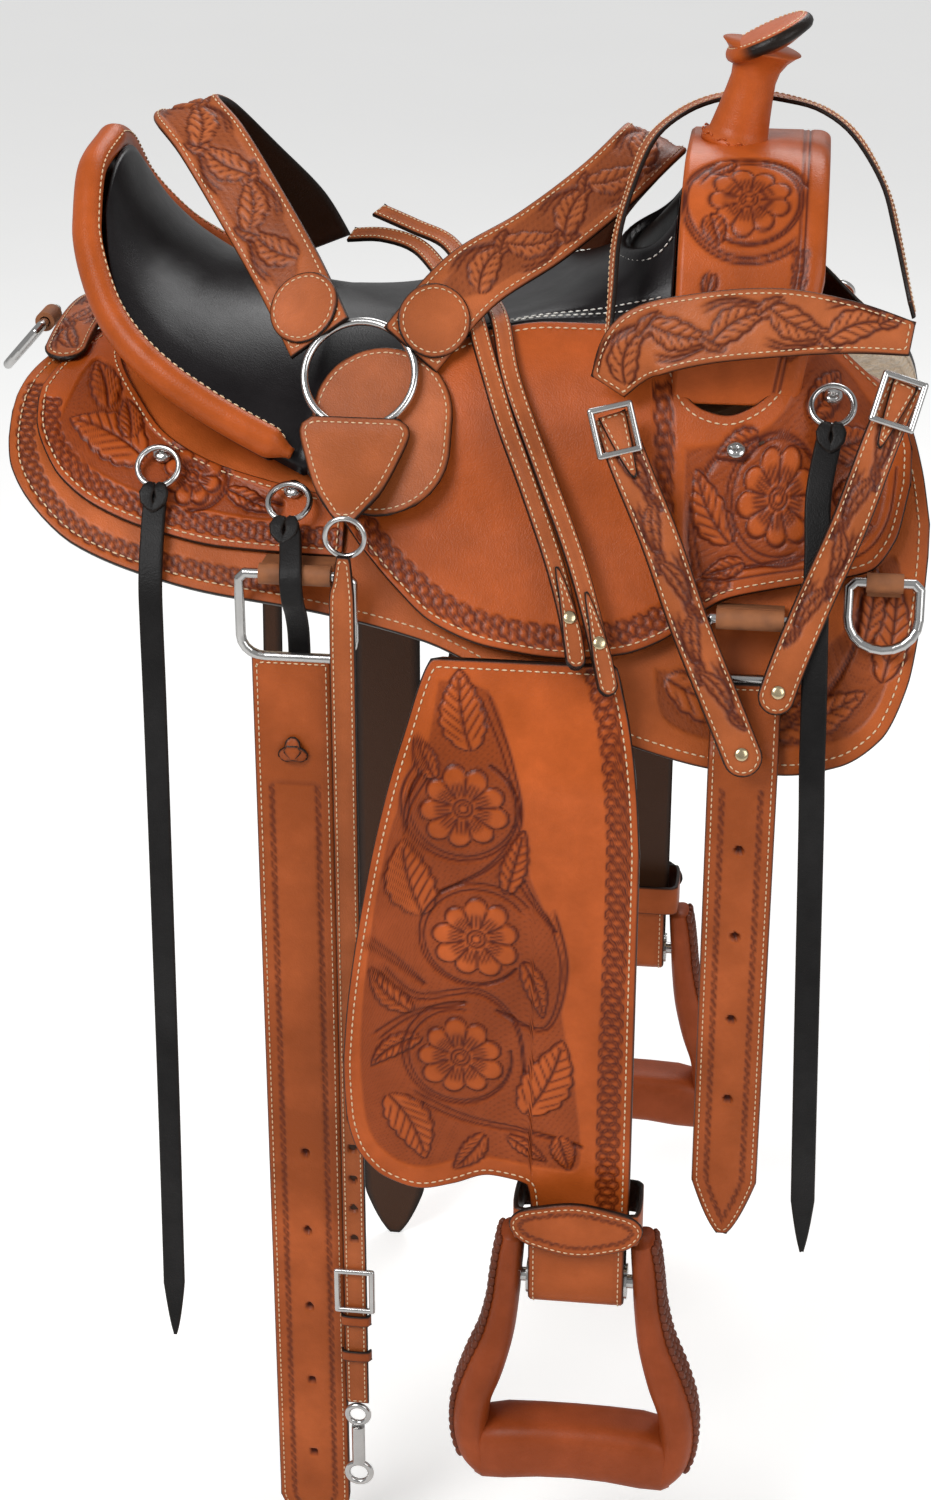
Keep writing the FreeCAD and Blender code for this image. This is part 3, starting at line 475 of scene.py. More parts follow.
TAN = leather("oiled tan skirting", (0.50, 0.104, 0.014), (0.085, 0.011, 0.003), coat=0.1)
skirt = Tooling(sheet_grid((-298, 326), lambda x: table(SKIRT_IN, x), lambda x: table(SKIRT_OUT, x), 1.75))
skirt.ground([(150, 255), (160, 292), (210, 306), (268, 303), (298, 280), (310, 225), (306, 180), (285, 190),
              (270, 230), (215, 262)])
for base, tip, half in (((158, 262), (226, 288), 15), ((228, 296), (290, 268), 14), ((300, 262), (306, 196), 12),
                        ((262, 262), (222, 262), 9), ((286, 238), (292, 186), 9)):
    skirt.leaf(base, tip, half, 0.04, 6)
skirt.sprig([(236, 290), (262, 272), (280, 240), (284, 205)])
skirt.shells([(-286, 90), (-284, 140), (-262, 180), (-225, 203), (-170, 214), (-100, 219)], 6.5, 10)
leather_piece("skirt", skirt, lambda flat, h: on_back(flat, SKIRT_TOP + h), SKIRT_THICK, TAN, ON_SADDLE,
              ("skirt",))

# Saddle stitching: waxed cream thread, one stitch after another just inside the edge, pulled down into the leather.
# The Geometry Nodes tree lays short round-ended stitches along a line.
def start_tree(name, **kinds):
    """Geometry Nodes tree with inputs of these kinds that puts one mesh out."""
    tree = bpy.data.node_groups.new(name, "GeometryNodeTree")
    sockets = {key: tree.interface.new_socket(key, in_out="INPUT", socket_type="NodeSocket" + kind).identifier
               for key, kind in kinds.items()}
    tree.interface.new_socket("Mesh", in_out="OUTPUT", socket_type="NodeSocketGeometry")
    return tree, sockets, tree.nodes.new, tree.links.new


def end_tree(new, link, given, spots):
    """Makes the instances real, paints them and puts them out."""
    real, paint, out = new("GeometryNodeRealizeInstances"), new("GeometryNodeSetMaterial"), new("NodeGroupOutput")
    link(spots.outputs["Instances"], real.inputs["Geometry"])
    link(real.outputs["Geometry"], paint.inputs["Geometry"])
    link(given.outputs["Material"], paint.inputs["Material"])
    link(paint.outputs["Geometry"], out.inputs["Mesh"])


def grown(source, tree, sockets, values):
    """The mesh that a tree makes from an object, which isn't kept."""
    bpy.context.scene.collection.objects.link(source)
    work = source.modifiers.new("nodes", "NODES")
    work.node_group = tree
    for key, value in values.items():
        work[sockets[key]] = value
    bpy.context.view_layer.update()
    mesh = bpy.data.meshes.new_from_object(source.evaluated_get(bpy.context.evaluated_depsgraph_get()))
    bpy.data.objects.remove(source)
    mesh.shade_smooth()
    return mesh


def stitch_tree():
    tree, sockets, new, link = start_tree("saddle_stitch", Line="Geometry", Pitch="Float", Stitch="Float",
                                          Thread="Float", Material="Material")
    given = new("NodeGroupInput")
    places = new("GeometryNodeCurveToPoints")
    places.mode = "LENGTH"
    link(given.outputs["Line"], places.inputs["Curve"])
    link(given.outputs["Pitch"], places.inputs["Length"])
    turn = new("FunctionNodeAlignRotationToVector")
    turn.axis = "Z"
    link(places.outputs["Tangent"], turn.inputs["Vector"])
    bead = new("GeometryNodeMeshUVSphere")
    bead.inputs["Segments"].default_value, bead.inputs["Rings"].default_value = 6, 5
    bead.inputs["Radius"].default_value = 1.0
    size = new("ShaderNodeCombineXYZ")
    link(given.outputs["Thread"], size.inputs["X"])
    link(given.outputs["Thread"], size.inputs["Y"])
    link(given.outputs["Stitch"], size.inputs["Z"])
    spots = new("GeometryNodeInstanceOnPoints")
    link(places.outputs["Points"], spots.inputs["Points"])
    link(bead.outputs["Mesh"], spots.inputs["Instance"])
    link(turn.outputs["Rotation"], spots.inputs["Rotation"])
    link(size.outputs["Vector"], spots.inputs["Scale"])
    end_tree(new, link, given, spots)
    return tree, sockets


STITCH, STITCH_SOCKETS = stitch_tree()


def plain_material(name, colour, rough, metallic=0.0, noise=60.0, vary=0.25, bump=0.2, distance=0.0004):
    material = bpy.data.materials.new(name)
    material.use_nodes = True
    tree = material.node_tree
    shader = tree.nodes["Principled BSDF"]
    place, texture = tree.nodes.new("ShaderNodeTexCoord"), tree.nodes.new("ShaderNodeTexNoise")
    texture.inputs["Scale"].default_value, texture.inputs["Detail"].default_value = noise, 5
    tree.links.new(place.outputs["Object"], texture.inputs["Vector"])
    ramp = tree.nodes.new("ShaderNodeValToRGB")
    ramp.color_ramp.elements[0].position, ramp.color_ramp.elements[1].position = 0.3, 0.7
    ramp.color_ramp.elements[0].color = (*[c * (1 - vary) for c in colour], 1)
    ramp.color_ramp.elements[1].color = (*[min(c * (1 + vary), 1) for c in colour], 1)
    tree.links.new(texture.outputs["Fac"], ramp.inputs["Fac"])
    tree.links.new(ramp.outputs["Color"], shader.inputs["Base Color"])
    wear = tree.nodes.new("ShaderNodeMapRange")
    wear.inputs["To Min"].default_value, wear.inputs["To Max"].default_value = rough * 0.75, min(rough * 1.25, 1)
    tree.links.new(texture.outputs["Fac"], wear.inputs["Value"])
    tree.links.new(wear.outputs["Result"], shader.inputs["Roughness"])
    lumps = tree.nodes.new("ShaderNodeBump")
    lumps.inputs["Strength"].default_value, lumps.inputs["Distance"].default_value = bump, distance
    tree.links.new(texture.outputs["Fac"], lumps.inputs["Height"])
    tree.links.new(lumps.outputs["Normal"], shader.inputs["Normal"])
    shader.inputs["Metallic"].default_value = metallic
    return material


THREAD = plain_material("waxed cream thread", (0.75, 0.55, 0.34), 0.55, noise=900)


def stitches(name, lines, bodies, pitch=5.4, stitch=3.9, thread=0.62, material=THREAD):
    """Rows of stitches along lines of points in millimetres, on the right body and, if there are two, on the left."""
    for body, mirror, ending in sides(bodies):
        made = bpy.data.curves.new(name, "CURVE")
        made.dimensions = "3D"
        for line in lines:
            run = made.splines.new("POLY")
            run.points.add(len(line) - 1)
            places = line * (1, -1 if mirror else 1, 1) * 0.001
            run.points.foreach_set("co", np.column_stack([places, np.ones(len(line))]).ravel())
        sizes = {"Pitch": pitch * 0.001, "Stitch": stitch * 0.0005, "Thread": thread * 0.001, "Material": material}
        mesh = grown(bpy.data.objects.new(name + "_line", made), STITCH, STITCH_SOCKETS, sizes)
        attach(in_scene("sewn_" + name + ending, mesh), body)


THREAD_HIGH = 0.35                       # how far a row of stitches lies over the face of the leather
stitches("skirt", [on_back(skirt.inset(7), SKIRT_TOP + THREAD_HIGH)], ON_SADDLE)

# ---------------------------------------------------------------- sheepskin
# Cream wool-on sheepskin lines the whole underside of the skirts. It is cut a little smaller than the skirts, and
# the clipped wool stands about 12 mm deep in soft lumps.
WOOL = plain_material("clipped sheepskin wool", (0.66, 0.50, 0.34), 0.95, noise=140, vary=0.18, bump=0.9,
                      distance=0.004)
WOOL.node_tree.nodes["Principled BSDF"].inputs["Sheen Weight"].default_value = 0.6
rng = np.random.default_rng(7)


def sheet_faces(rows, cols):
    """Faces of a sheet whose upper and lower sides have the same rows and columns, joined round the edge."""
    index = np.arange(rows * cols).reshape(rows, cols)
    faces = np.stack([index[:-1, :-1], index[1:, :-1], index[1:, 1:], index[:-1, 1:]], -1).reshape(-1, 4)
    faces = faces.tolist() + (faces[:, ::-1] + rows * cols).tolist()
    for ring in (index[0], index[-1], index[:, 0], index[:, -1]):
        faces += [[int(a), int(b), int(b) + rows * cols, int(a) + rows * cols] for a, b in zip(ring[:-1], ring[1:])]
    return faces


wool_flat = sheet_grid((-295, 323), lambda x: table(SKIRT_IN, x) + 1, lambda x: table(SKIRT_OUT, x) - 3, 4.0)
waves = sum(np.sin(wool_flat[..., 0] * a + wool_flat[..., 1] * b + c) for a, b, c in
            zip(rng.uniform(-0.7, 0.7, 14), rng.uniform(-0.7, 0.7, 14), rng.uniform(0, 6, 14))) / 6
hide = on_back(wool_flat, 10.8)
under = on_back(wool_flat, 0.6 + waves * 1.3 + 6 * (1 - ease(0, 5, Tooling(wool_flat).edge)))
faces = sheet_faces(*wool_flat.shape[:2])
for mirror, side in ((False, "right"), (True, "left")):
    piece = finish_mesh("wool_" + side, np.concatenate([hide.reshape(-1, 3), under.reshape(-1, 3)]), faces, {}, None,
                        WOOL, mirror)
    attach(piece, "saddle")
    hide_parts("fleece_" + side)

# ---------------------------------------------------------------- rear jockeys
# The rear jockeys cover the bars behind the cantle. Each is tooled with a flower, a big leaf and curling stems, and
# has a double row of shell stamps inside its stitched lower edge.
SADDLE = leather("oiled saddle leather", (0.50, 0.092, 0.009), (0.085, 0.010, 0.003), rough=0.36, coat=0.1)
REAR_OUT = [(-281, 108), (-278, 128), (-270, 146), (-255, 166), (-229, 182), (-190, 193), (-142, 199), (-60, 197)]
REAR_IN = [(-281, 98), (-276, 80), (-266, 56), (-254, 28), (-246, 14), (-232, 64), (-216, 92), (-190, 124), (-165, 138),
           (-140, 146), (-60, 160)]
REAR_TOP = 20.7
rear = Tooling(sheet_grid((-281, -60), lambda x: table(REAR_IN, x), lambda x: table(REAR_OUT, x), 1.4))
rear.ground([(-262, 110), (-262, 138), (-235, 158), (-195, 172), (-150, 177), (-108, 178), (-104, 162), (-150, 146),
             (-190, 128), (-222, 98), (-250, 62)])
rear.leaf((-200, 146), (-256, 122), 19, 0.08, 6)
rear.leaf((-232, 110), (-250, 66), 11, 0.05)
rear.leaf((-212, 132), (-222, 100), 9, 0.05)
rear.curl(-166, 154, 23, 200, 250, 5)
rear.flower(-166, 154, 20, 8, 0.3)
rear.leaf((-142, 160), (-108, 172), 7)
rear.sprig([(-130, 176), (-120, 165), (-104, 166)])
rear.shells([(-271, 106), (-268, 128), (-258, 146), (-240, 162), (-214, 174), (-176, 182), (-130, 186), (-62, 185)],
            6.5, 10)
leather_piece("rear_jockey", rear, lambda flat, h: on_back(flat, REAR_TOP + h), 3.8, SADDLE, ON_SADDLE,
              ("rear_jockey",))
stitches("rear_jockey", [on_back(rear.inset(4.5), REAR_TOP + THREAD_HIGH)], ON_SADDLE)

# ---------------------------------------------------------------- seat jockeys
# Each seat jockey is one large piece of smooth orange leather: a wide flap that lies over the top of the fender and
# the stirrup leather, and a tooled front lobe round the foot of the fork. It is held by a screw through the lobe.
JOCKEY_OUT = [(-86, 152), (-70, 166), (-48, 190), (-24, 215), (4, 238), (43, 251), (89, 255), (128, 250), (157, 238),
              (176, 222), (196, 210), (225, 203), (256, 197), (288, 190), (304, 172), (312, 140)]
JOCKEY_NECK = [(140, 80), (152, 86), (162, 104), (176, 111), (190, 113), (206, 109), (222, 98), (234, 74), (250, 62),
               (275, 66), (300, 80), (312, 118)]
SEAT_HALF = [(-86, 157), (-40, 137), (0, 112), (35, 97), (68, 91), (110, 92), (150, 95)]
JOCKEY_THICK = 4.0
NECK_FROM = 140                          # where the inner edge leaves the seat and goes round the swell


def jockey_height(x, s):
    return 27 + 50 * (1 - ease(60, 185, s)) * (1 - ease(225, 300, x))


def on_jockey(flat, height):
    return on_back(flat, jockey_height(flat[..., 0], flat[..., 1]) + JOCKEY_THICK + height)


def jockey_in(x):
    """Inner edge: along the padded seat, then round the foot of the swell."""
    if x >= NECK_FROM:
        return table(JOCKEY_NECK, x)
    half, low, high = table(SEAT_HALF, x) + 1.5, 20.0, 200.0
    for _ in range(30):
        s = (low + high) / 2
        if -on_back(np.array([x, s]), jockey_height(x, s))[1] < half:
            low = s
        else:
            high = s
    return s


JOCKEY_IN = [(x, jockey_in(x)) for x in np.linspace(-86, 312, 150)]
jockey = Tooling(sheet_grid((-86, 312), lambda x: np.interp(x, *zip(*JOCKEY_IN)), lambda x: table(JOCKEY_OUT, x), 1.6))
jockey.ground([(163, 128), (166, 180), (176, 200), (200, 190), (240, 183), (283, 174), (296, 150), (293, 105),
               (272, 78), (246, 76), (228, 108), (205, 122)])
jockey.sprig([(176, 196), (170, 160), (185, 132), (215, 124)], 5)
jockey.sprig([(282, 170), (268, 178), (236, 184), (200, 190)], 5)
for base, tip, half, bend in (((196, 176), (172, 138), 12, -0.08), ((206, 186), (178, 196), 7, 0),
                              ((252, 172), (288, 164), 9, 0.05), ((254, 124), (288, 108), 11, 0.08),
                              ((244, 112), (262, 80), 9, 0.04), ((212, 122), (184, 132), 7, 0),
                              ((262, 152), (290, 136), 8, 0)):
    jockey.leaf(base, tip, half, bend)
jockey.curl(226, 152, 30, 60, 300, 6)
jockey.flower(226, 152, 26, 9, 0.2)
jockey.shells([(-72, 150), (-60, 163), (-38, 186), (-16, 206), (10, 225), (44, 237), (88, 241), (124, 236), (150, 226),
               (168, 212), (190, 199)], 8, 12)
jockey.shells([(146, 98), (150, 124), (152, 160), (160, 196)], 6.5, 11)
jockey.cut([(190, 199), (225, 192), (256, 187), (284, 179), (298, 160), (302, 130)], 0.8, 0.5)
leather_piece("seat_jockey", jockey, on_jockey, JOCKEY_THICK, SADDLE, ON_SADDLE, ("seat_jockey",))
stitches("seat_jockey", [on_jockey(jockey.inset(5), THREAD_HIGH)], ON_SADDLE)

# ---------------------------------------------------------------- fenders
# The fender is the broad panel that hangs from the tree and keeps the rider's leg off the horse. It is deeply tooled
# with three flowers in a running vine, with a strip of shell stamps down its front edge, stitched all round.
HANGS = [(-700, 247), (-215, 247), (-175, 240.5), (-150, 233), (-128, 225)]       # height, distance from the middle
FENDER_TOP = [(-56, -431), (-52, -383), (-43, -319), (-30, -249), (-13, -182), (7, -128), (127, -128), (131, -140),
              (139, -173), (144, -209), (147, -254)]
FENDER_LOW = [(-56, -431), (-54, -473), (-45, -503), (-26, -522), (-2, -529), (22, -523), (47, -514), (62, -516),
              (76, -521), (76.5, -545), (147, -545)]


def on_fender(flat, height):
    x, z = flat[..., 0], flat[..., 1]
    hang = np.interp(z, HANG_Z, HANG_Y)
    return np.stack([x, -(hang + 2.2 + height), z], -1)


HANG_Z = np.linspace(-560, -126, 120)
HANG_Y = np.array([table(HANGS, z) for z in HANG_Z])
FENDERS = ("fender_right", "fender_left")
tooled = Tooling(sheet_grid((-55.6, 147), lambda x: table(FENDER_LOW, x), lambda x: table(FENDER_TOP, x), 1.45))
tooled.ground([(10, -140), (2, -190), (-18, -235), (-32, -300), (-42, -380), (-44, -440), (-36, -490), (-5, -512),
               (40, -500), (90, -506), (112, -500), (108, -440), (98, -380), (92, -320), (74, -270), (66, -215),
               (48, -150)])
for line in ([(40, -148), (58, -190), (66, -235), (48, -268), (14, -290)],
             [(88, -300), (98, -345), (86, -392), (52, -380)],
             [(-30, -350), (-4, -372), (40, -366), (66, -392), (72, -440)], [(-34, -408), (-6, -386), (30, -376)],
             [(-10, -450), (30, -468), (74, -476), (112, -486)], [(-38, -330), (-14, -348), (2, -362)],
             [(8, -196), (-8, -226), (-10, -246)], [(60, -262), (74, -290), (92, -316)]):
    tooled.sprig(line, 6)
for base, tip, half, bend in (((34, -186), (24, -134), 16, 0.05), ((2, -308), (-12, -252), 18, 0.06),
                              ((-24, -452), (2, -504), 16, 0.08), ((72, -462), (98, -400), 18, -0.06),
                              ((58, -290), (70, -240), 9, 0.0), ((-6, -384), (-36, -352), 9, 0.1),
                              ((0, -404), (-36, -430), 8, -0.1), ((96, -478), (104, -506), 9, 0),
                              ((44, -480), (22, -510), 9, 0.05), ((70, -340), (84, -384), 8, 0.05),
                              ((10, -206), (-4, -178), 8, 0), ((60, -480), (88, -500), 6, 0)):
    tooled.leaf(base, tip, half, bend, 6)
for x, z, start in ((29, -226, 130), (38, -324, 30), (27, -418, 80)):
    tooled.curl(x, z, 36, start, 290, 6)
    tooled.flower(x, z, 30, 9, start * 0.1)
tooled.shells([(113, -128), (124, -165), (131, -215), (133, -280), (131, -400), (131, -545)], 8, 12)
leather_piece("fender", tooled, on_fender, 4.4, SADDLE, FENDERS, ("fender",))
stitches("fender", [on_fender(tooled.inset(5), THREAD_HIGH)], FENDERS)

# ---------------------------------------------------------------- fork, swell and gullet
# The fork is the arch at the front of the tree. Damp leather is blocked over it in one piece, with a welt near the
# front edge and, on each swell, a flower in a round scroll of stems.
FORK_OUT = [(0, 169), (44, 166), (78, 151), (104, 125), (121, 92), (130, 60), (137, 24)]
FORK_IN = [(0, 111), (42, 105), (68, 80), (79, 60), (81, 40), (80, 20)]
outer = evenly(smooth([(-y, z) for y, z in FORK_OUT[:0:-1]] + FORK_OUT, 8), 2.0)
inner = evenly(smooth([(-y, z) for y, z in FORK_IN[:0:-1]] + FORK_IN, 8), 2.0)
inner = look_up(np.linspace(0, 1, len(outer)), np.linspace(0, 1, len(inner)), inner)
run = travelled(outer)
run -= run[-1] / 2
FORK_BACK, BEVEL = 152.5, 9.0            # where the cover starts, and how far its front edge is rounded
FACE = slice(2, 70)                      # columns of the grid that lie on its face
grid = []
for (oy, oz), (iy, iz), a in zip(outer, inner, run):
    front = float(np.interp(oz, [-20, 20, 110, 200], [233, 235, 249, 249]))
    row = [(FORK_BACK + 1.5, 0.35), (FORK_BACK, 0.12), (FORK_BACK + 1, 0.03)]
    row += [(x, 0.0) for x in np.linspace(156, front - BEVEL, 66)]
    row += [(front - BEVEL + BEVEL * math.sin(t), 0.0975 * (1 - math.cos(t))) for t in np.linspace(0.25, 1.57, 6)]
    row += [(front, 0.35), (front - 1, 0.65), (front - 4, 0.95), (front - 10, 1.0), (200, 1.0), (158, 1.0), (153, 0.8)]
    grid.append([(x, oy + (iy - oy) * k, oz + (iz - oz) * k, a) for x, k in row])
grid = np.array(grid)
face = Tooling(np.stack([grid[..., 0], grid[..., 3]], -1)[:, FACE])
for side in (-1, 1):
    flower_at = (197, side * 88)
    face.curl(*flower_at, 40, 40 * side, 300 * side, 5)
    face.curl(*flower_at, 33, 200 * side, 280 * side, 5)
    face.flower(*flower_at, 27, 9, 0.4)
    face.leaf((186, side * 52), (170, side * 66), 7)
    face.leaf((172, side * 100), (180, side * 122), 8)
    face.shells([(233, side * 122), (232, side * 150), (229, side * 190)], 5.5, 9)
    face.leaf((176, side * 140), (172, side * 158), 5)
for off in (14.0, 17.5):
    face.cut(np.stack([grid[:, 74, 0] - off, grid[:, 74, 3]], -1), 0.9, 1.0, round_it=False)
normals = unit(np.cross(np.gradient(grid[..., :3], axis=1), np.gradient(grid[..., :3], axis=0)))
if normals[len(outer) // 2, 30, 2] < 0:
    normals = -normals
points = grid[..., :3].copy()
points[:, FACE] += normals[:, FACE] * face.height[..., None]
stain = np.zeros(points.shape[:2])
stain[:, FACE] = face.stain


def ring_faces(rows, around):
    """Faces of a closed tube of rows rings."""
    index = np.arange(rows * around).reshape(rows, around)
    faces = []
    for j in range(around):
        k = (j + 1) % around
        faces += np.stack([index[:-1, j], index[1:, j], index[1:, k], index[:-1, k]], -1).tolist()
    return faces + [index[0].tolist(), index[-1].tolist()]


fork = finish_mesh("shown_fork", points.reshape(-1, 3), ring_faces(*stain.shape), {"stain": stain, "edge": 0 * stain},
                   None, SADDLE)
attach(fork, "saddle")
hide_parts("fork_cover")

# ---------------------------------------------------------------- horn
# The horn is wound round with leather from its flared foot to the neck. Its sloping cap is a disc of smooth leather
# stitched over a blacked edge band.
def turned(name, profile, place, stands_for):
    """Round leather piece from (radius, height) points about the place's own Z."""
    points, edge, count = [], [], 72
    for radius, height, *mark in profile:
        for t in np.arange(count) / count * 2 * np.pi:
            points.append(place @ Vector((radius * math.cos(t), radius * math.sin(t), height)))
            edge.append((mark[0] if mark else 0.0) * float(ease(-0.75, -0.35, math.cos(t))))
    made = finish_mesh(name, np.array([tuple(p) for p in points]), ring_faces(len(profile), count),
                       {"stain": np.zeros(len(points)), "edge": edge}, None, SADDLE)
    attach(made, "saddle")
    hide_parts(stands_for)


HORN_BASE, HORN_TOP = Vector((184, 0, 162)), Vector((200, 0, 231))
neck_place = Matrix.Translation(HORN_BASE) @ (HORN_TOP - HORN_BASE).to_track_quat("Z", "Y").to_matrix().to_4x4()
turned("shown_horn_neck", [(24, 2), (24.5, 5), (23.5, 8), (20.5, 10), (19.5, 16), (18, 26), (16.4, 38), (15.4, 48),
                           (16.4, 56), (20, 63), (24.5, 68), (27, 70)],
       neck_place, "horn_wrap")
cap_place = Matrix.Translation((206, 0, 232.5)) @ Matrix.Rotation(math.radians(-26), 4, "Y")
turned("shown_horn_cap", [(5, -5, 0), (16, -4, 0), (24, -1.5, 0.6), (29.5, 0.2, 1), (31.2, 2.4, 1), (31.4, 4.6, 1),
                          (30.6, 6.8, 1), (29.6, 8.0, 1), (28.8, 8.7, 0.2), (27.5, 9.2, 0), (22, 9.9, 0), (12, 10.4, 0),
                          (2, 10.6, 0)],
       cap_place, "horn_cap")
for name, place, radius, height, wave, count, look in (
        ("horn_cap", cap_place, 27.2, 9.5, 0, 90, (3.6, 2.6, 0.5)),
        ("horn_foot", neck_place, 24.2, 7.4, 1.6, 160, (4.2, 3.4, 0.8, SADDLE))):
    ringed = [tuple(place @ Vector((radius * math.cos(t), radius * math.sin(t), height + wave * math.sin(12 * t))))
              for t in np.linspace(0, 2 * np.pi, count)]
    stitches(name, [np.array(ringed)], ("saddle",), *look)

# ---------------------------------------------------------------- padded seat
# The seat is one padded piece in smooth black leather, from the cantle's rim down over the ground seat and up to a
# hand hole behind the fork. Two rows of white stitches run just inside its lower edge.
BLACK = leather("black seat leather", (0.006, 0.004, 0.005), (0.003, 0.003, 0.003), rough=0.3, grain=0.12,
                coat=0.04)
SEAT_MIDDLE = [(-240, 150), (-226, 112), (-206, 84), (-180, 66), (-140, 54), (-95, 48), (-45, 46), (0, 48), (50, 58),
               (95, 80), (128, 112), (149, 140)]
SEAT_RIM = [(-240, 120), (-232, 92), (-220, 68), (-188, 36), (-150, 12), (-115, -6), (-88, -19)]
RIM_HALF = [(-240, 64), (-232, 92), (-220, 113), (-188, 138), (-150, 148), (-115, 153), (-88, 156)]


def seat_half(x):
    return table(RIM_HALF, x) if x < -88 else table(SEAT_HALF, x)


def seat_rim(x):
    if x < -88:
        return table(SEAT_RIM, x)
    s = jockey_in(min(x, NECK_FROM - 0.1))
    return float(on_jockey(np.array([x, s]), 0)[2])


SEAT_X = np.linspace(-240, 149, 150)
SEAT_SIZES = np.array([(seat_half(x), seat_rim(x), table(SEAT_MIDDLE, x)) for x in SEAT_X])


def on_seat(x, k, height):
    """A point of the seat's top at length x and k of its half width to the side."""
    half, rim, middle = (np.interp(x, SEAT_X, SEAT_SIZES[:, i]) for i in range(3))
    z = middle + (rim - middle) * np.abs(k) ** 2.2
    return np.stack([x, k * half, z + height], -1)


xs = np.concatenate([[-240, -238], np.linspace(-234, 145, 130), [147.5, 149]])
ks = np.concatenate([[-1, -0.992, -0.975], np.linspace(-0.95, 0.95, 90), [0.975, 0.992, 1]])
X, K = np.meshgrid(xs, ks, indexing="ij")
half = np.interp(X, SEAT_X, SEAT_SIZES[:, 0])
to_side, to_end = (1 - np.abs(K)) * half, np.minimum(X + 240, 149 - X)
pad = 3.0 * ease(0, 30, to_side) * ease(0, 25, to_end)
from_hole = np.hypot((X - 137) / 26, (K * half) / 52)
pad = pad - 10 * (1 - ease(0.78, 1.0, from_hole)) + 2.0 * groove(from_hole - 1.12, 0.1)
for off in (6, 10.5):
    pad -= 1.1 * groove(to_side - off, 1.6) * (X > -84)
pad -= 4.5 * (1 - ease(0, 3.5, to_side)) ** 2
upper, lower = on_seat(X, K, pad), on_seat(X, K, -12.5)
# Inside the hand hole the black leather is painted darker still: painted shade in the hole's depth.
stain = np.concatenate([(1 - ease(0.8, 0.98, from_hole)).ravel(), np.zeros(X.size)])
seat = finish_mesh("shown_seat", np.concatenate([upper.reshape(-1, 3), lower.reshape(-1, 3)]), sheet_faces(*X.shape),
                   {"stain": stain, "edge": 0 * stain}, None, BLACK)
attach(seat, "saddle")
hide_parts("seat")


def seat_line(off, height):
    x = np.arange(-80, 144, 4.0)
    return on_seat(x, 1 - off / np.interp(x, SEAT_X, SEAT_SIZES[:, 0]), height)


WHITE = plain_material("white nylon thread", (0.80, 0.78, 0.72), 0.5, noise=900)
stitches("seat", [seat_line(6, 0.5), seat_line(10.5, 0.7)], ON_SADDLE, 5.0, 3.7, 0.65, WHITE)
hole = np.linspace(math.radians(62), math.radians(298), 60)
hx, hy = 137 + 31 * np.cos(hole), 62 * np.sin(hole)
keep = hx < 146
hk = hy[keep] / np.interp(hx[keep], SEAT_X, SEAT_SIZES[:, 0])
stitches("hand_hole", [on_seat(hx[keep], hk, 3.4)], ("saddle",), 5.0, 3.7, 0.6, WHITE)

# ---------------------------------------------------------------- cantle binding and cantle back
# The rim of the cantle is bound with a fat roll of orange leather over the seat's edge, sewn through just under the
# roll. The back of the cantle is one tooled piece with a flower in its middle.
RIM = [(-240, 0, 152), (-244, 40, 141), (-241, 75, 110), (-220, 116, 66), (-188, 141, 36), (-150, 151, 12),
       (-115, 156, -6), (-88, 157.5, -19)]


def rim_point(t):
    side, k = (1 if t >= 0 else -1), abs(t) * (len(RIM) - 1)
    x, y, z = (table([(i, p[axis]) for i, p in enumerate(RIM)], k) for axis in range(3))
    return np.array([x, side * y, z], float)


RINGS, AROUND = 161, 28
ROLL_OUT, ROLL_FACE = 9.6, 11.5          # the roll's half thickness outwards from the rim, and square to that
rim = np.array([rim_point(t) for t in np.linspace(-1, 1, RINGS)]) + (-9, 0, 4)
along = unit(np.gradient(rim, axis=0))
outward = rim - np.array([-90, 0, 30])
outward = unit(outward - along * np.sum(outward * along, 1, keepdims=True))
facing = np.cross(along, outward)
turns = np.arange(AROUND) / AROUND * 2 * np.pi
thin = 0.35 + 0.65 * ease(0, 7, np.minimum(np.arange(RINGS), np.arange(RINGS)[::-1]))
tube = (rim[:, None] + thin[:, None, None] * (outward[:, None] * ROLL_OUT * np.cos(turns)[None, :, None]
                                              + facing[:, None] * ROLL_FACE * np.sin(turns)[None, :, None]))
zeros = np.zeros(RINGS * AROUND)
binding = finish_mesh("shown_binding", tube.reshape(-1, 3), ring_faces(RINGS, AROUND), {"stain": zeros, "edge": zeros},
                      None, SADDLE)
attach(binding, "saddle")
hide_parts("cantle_binding")
for name, angle in (("rim_a", 115), ("rim_b", 245)):
    a = math.radians(angle)
    sewn = rim + thin[:, None] * (outward * (ROLL_OUT + 0.4) * math.cos(a) + facing * (ROLL_FACE + 0.4) * math.sin(a))
    stitches(name, [sewn[4:-4]], ("saddle",), 5.4, 4.0, 0.6)


def cantle_foot(t):
    x = rim_point(t)[0] + 22 * (1 - t * t)
    foot = on_back(np.array([x, 8 + 140 * abs(t) ** 1.15]), REAR_TOP + 2)
    return np.array([foot[0] - 4, math.copysign(-foot[1], t), foot[2]])


CANTLE_T = np.linspace(-0.93, 0.93, 61)
CANTLE_TOP = np.array([rim_point(t) + (-13, 0, -8) for t in CANTLE_T])
CANTLE_FOOT = np.array([cantle_foot(t) + (-5, 0, 0) for t in CANTLE_T])


def on_cantle(flat, height):
    t, k = flat[..., 0] / 170, flat[..., 1] / 100
    a, b = look_up(t, CANTLE_T, CANTLE_TOP), look_up(t, CANTLE_T, CANTLE_FOOT)
    made = a + (b - a) * k[..., None]
    made[..., 0] -= height
    return made


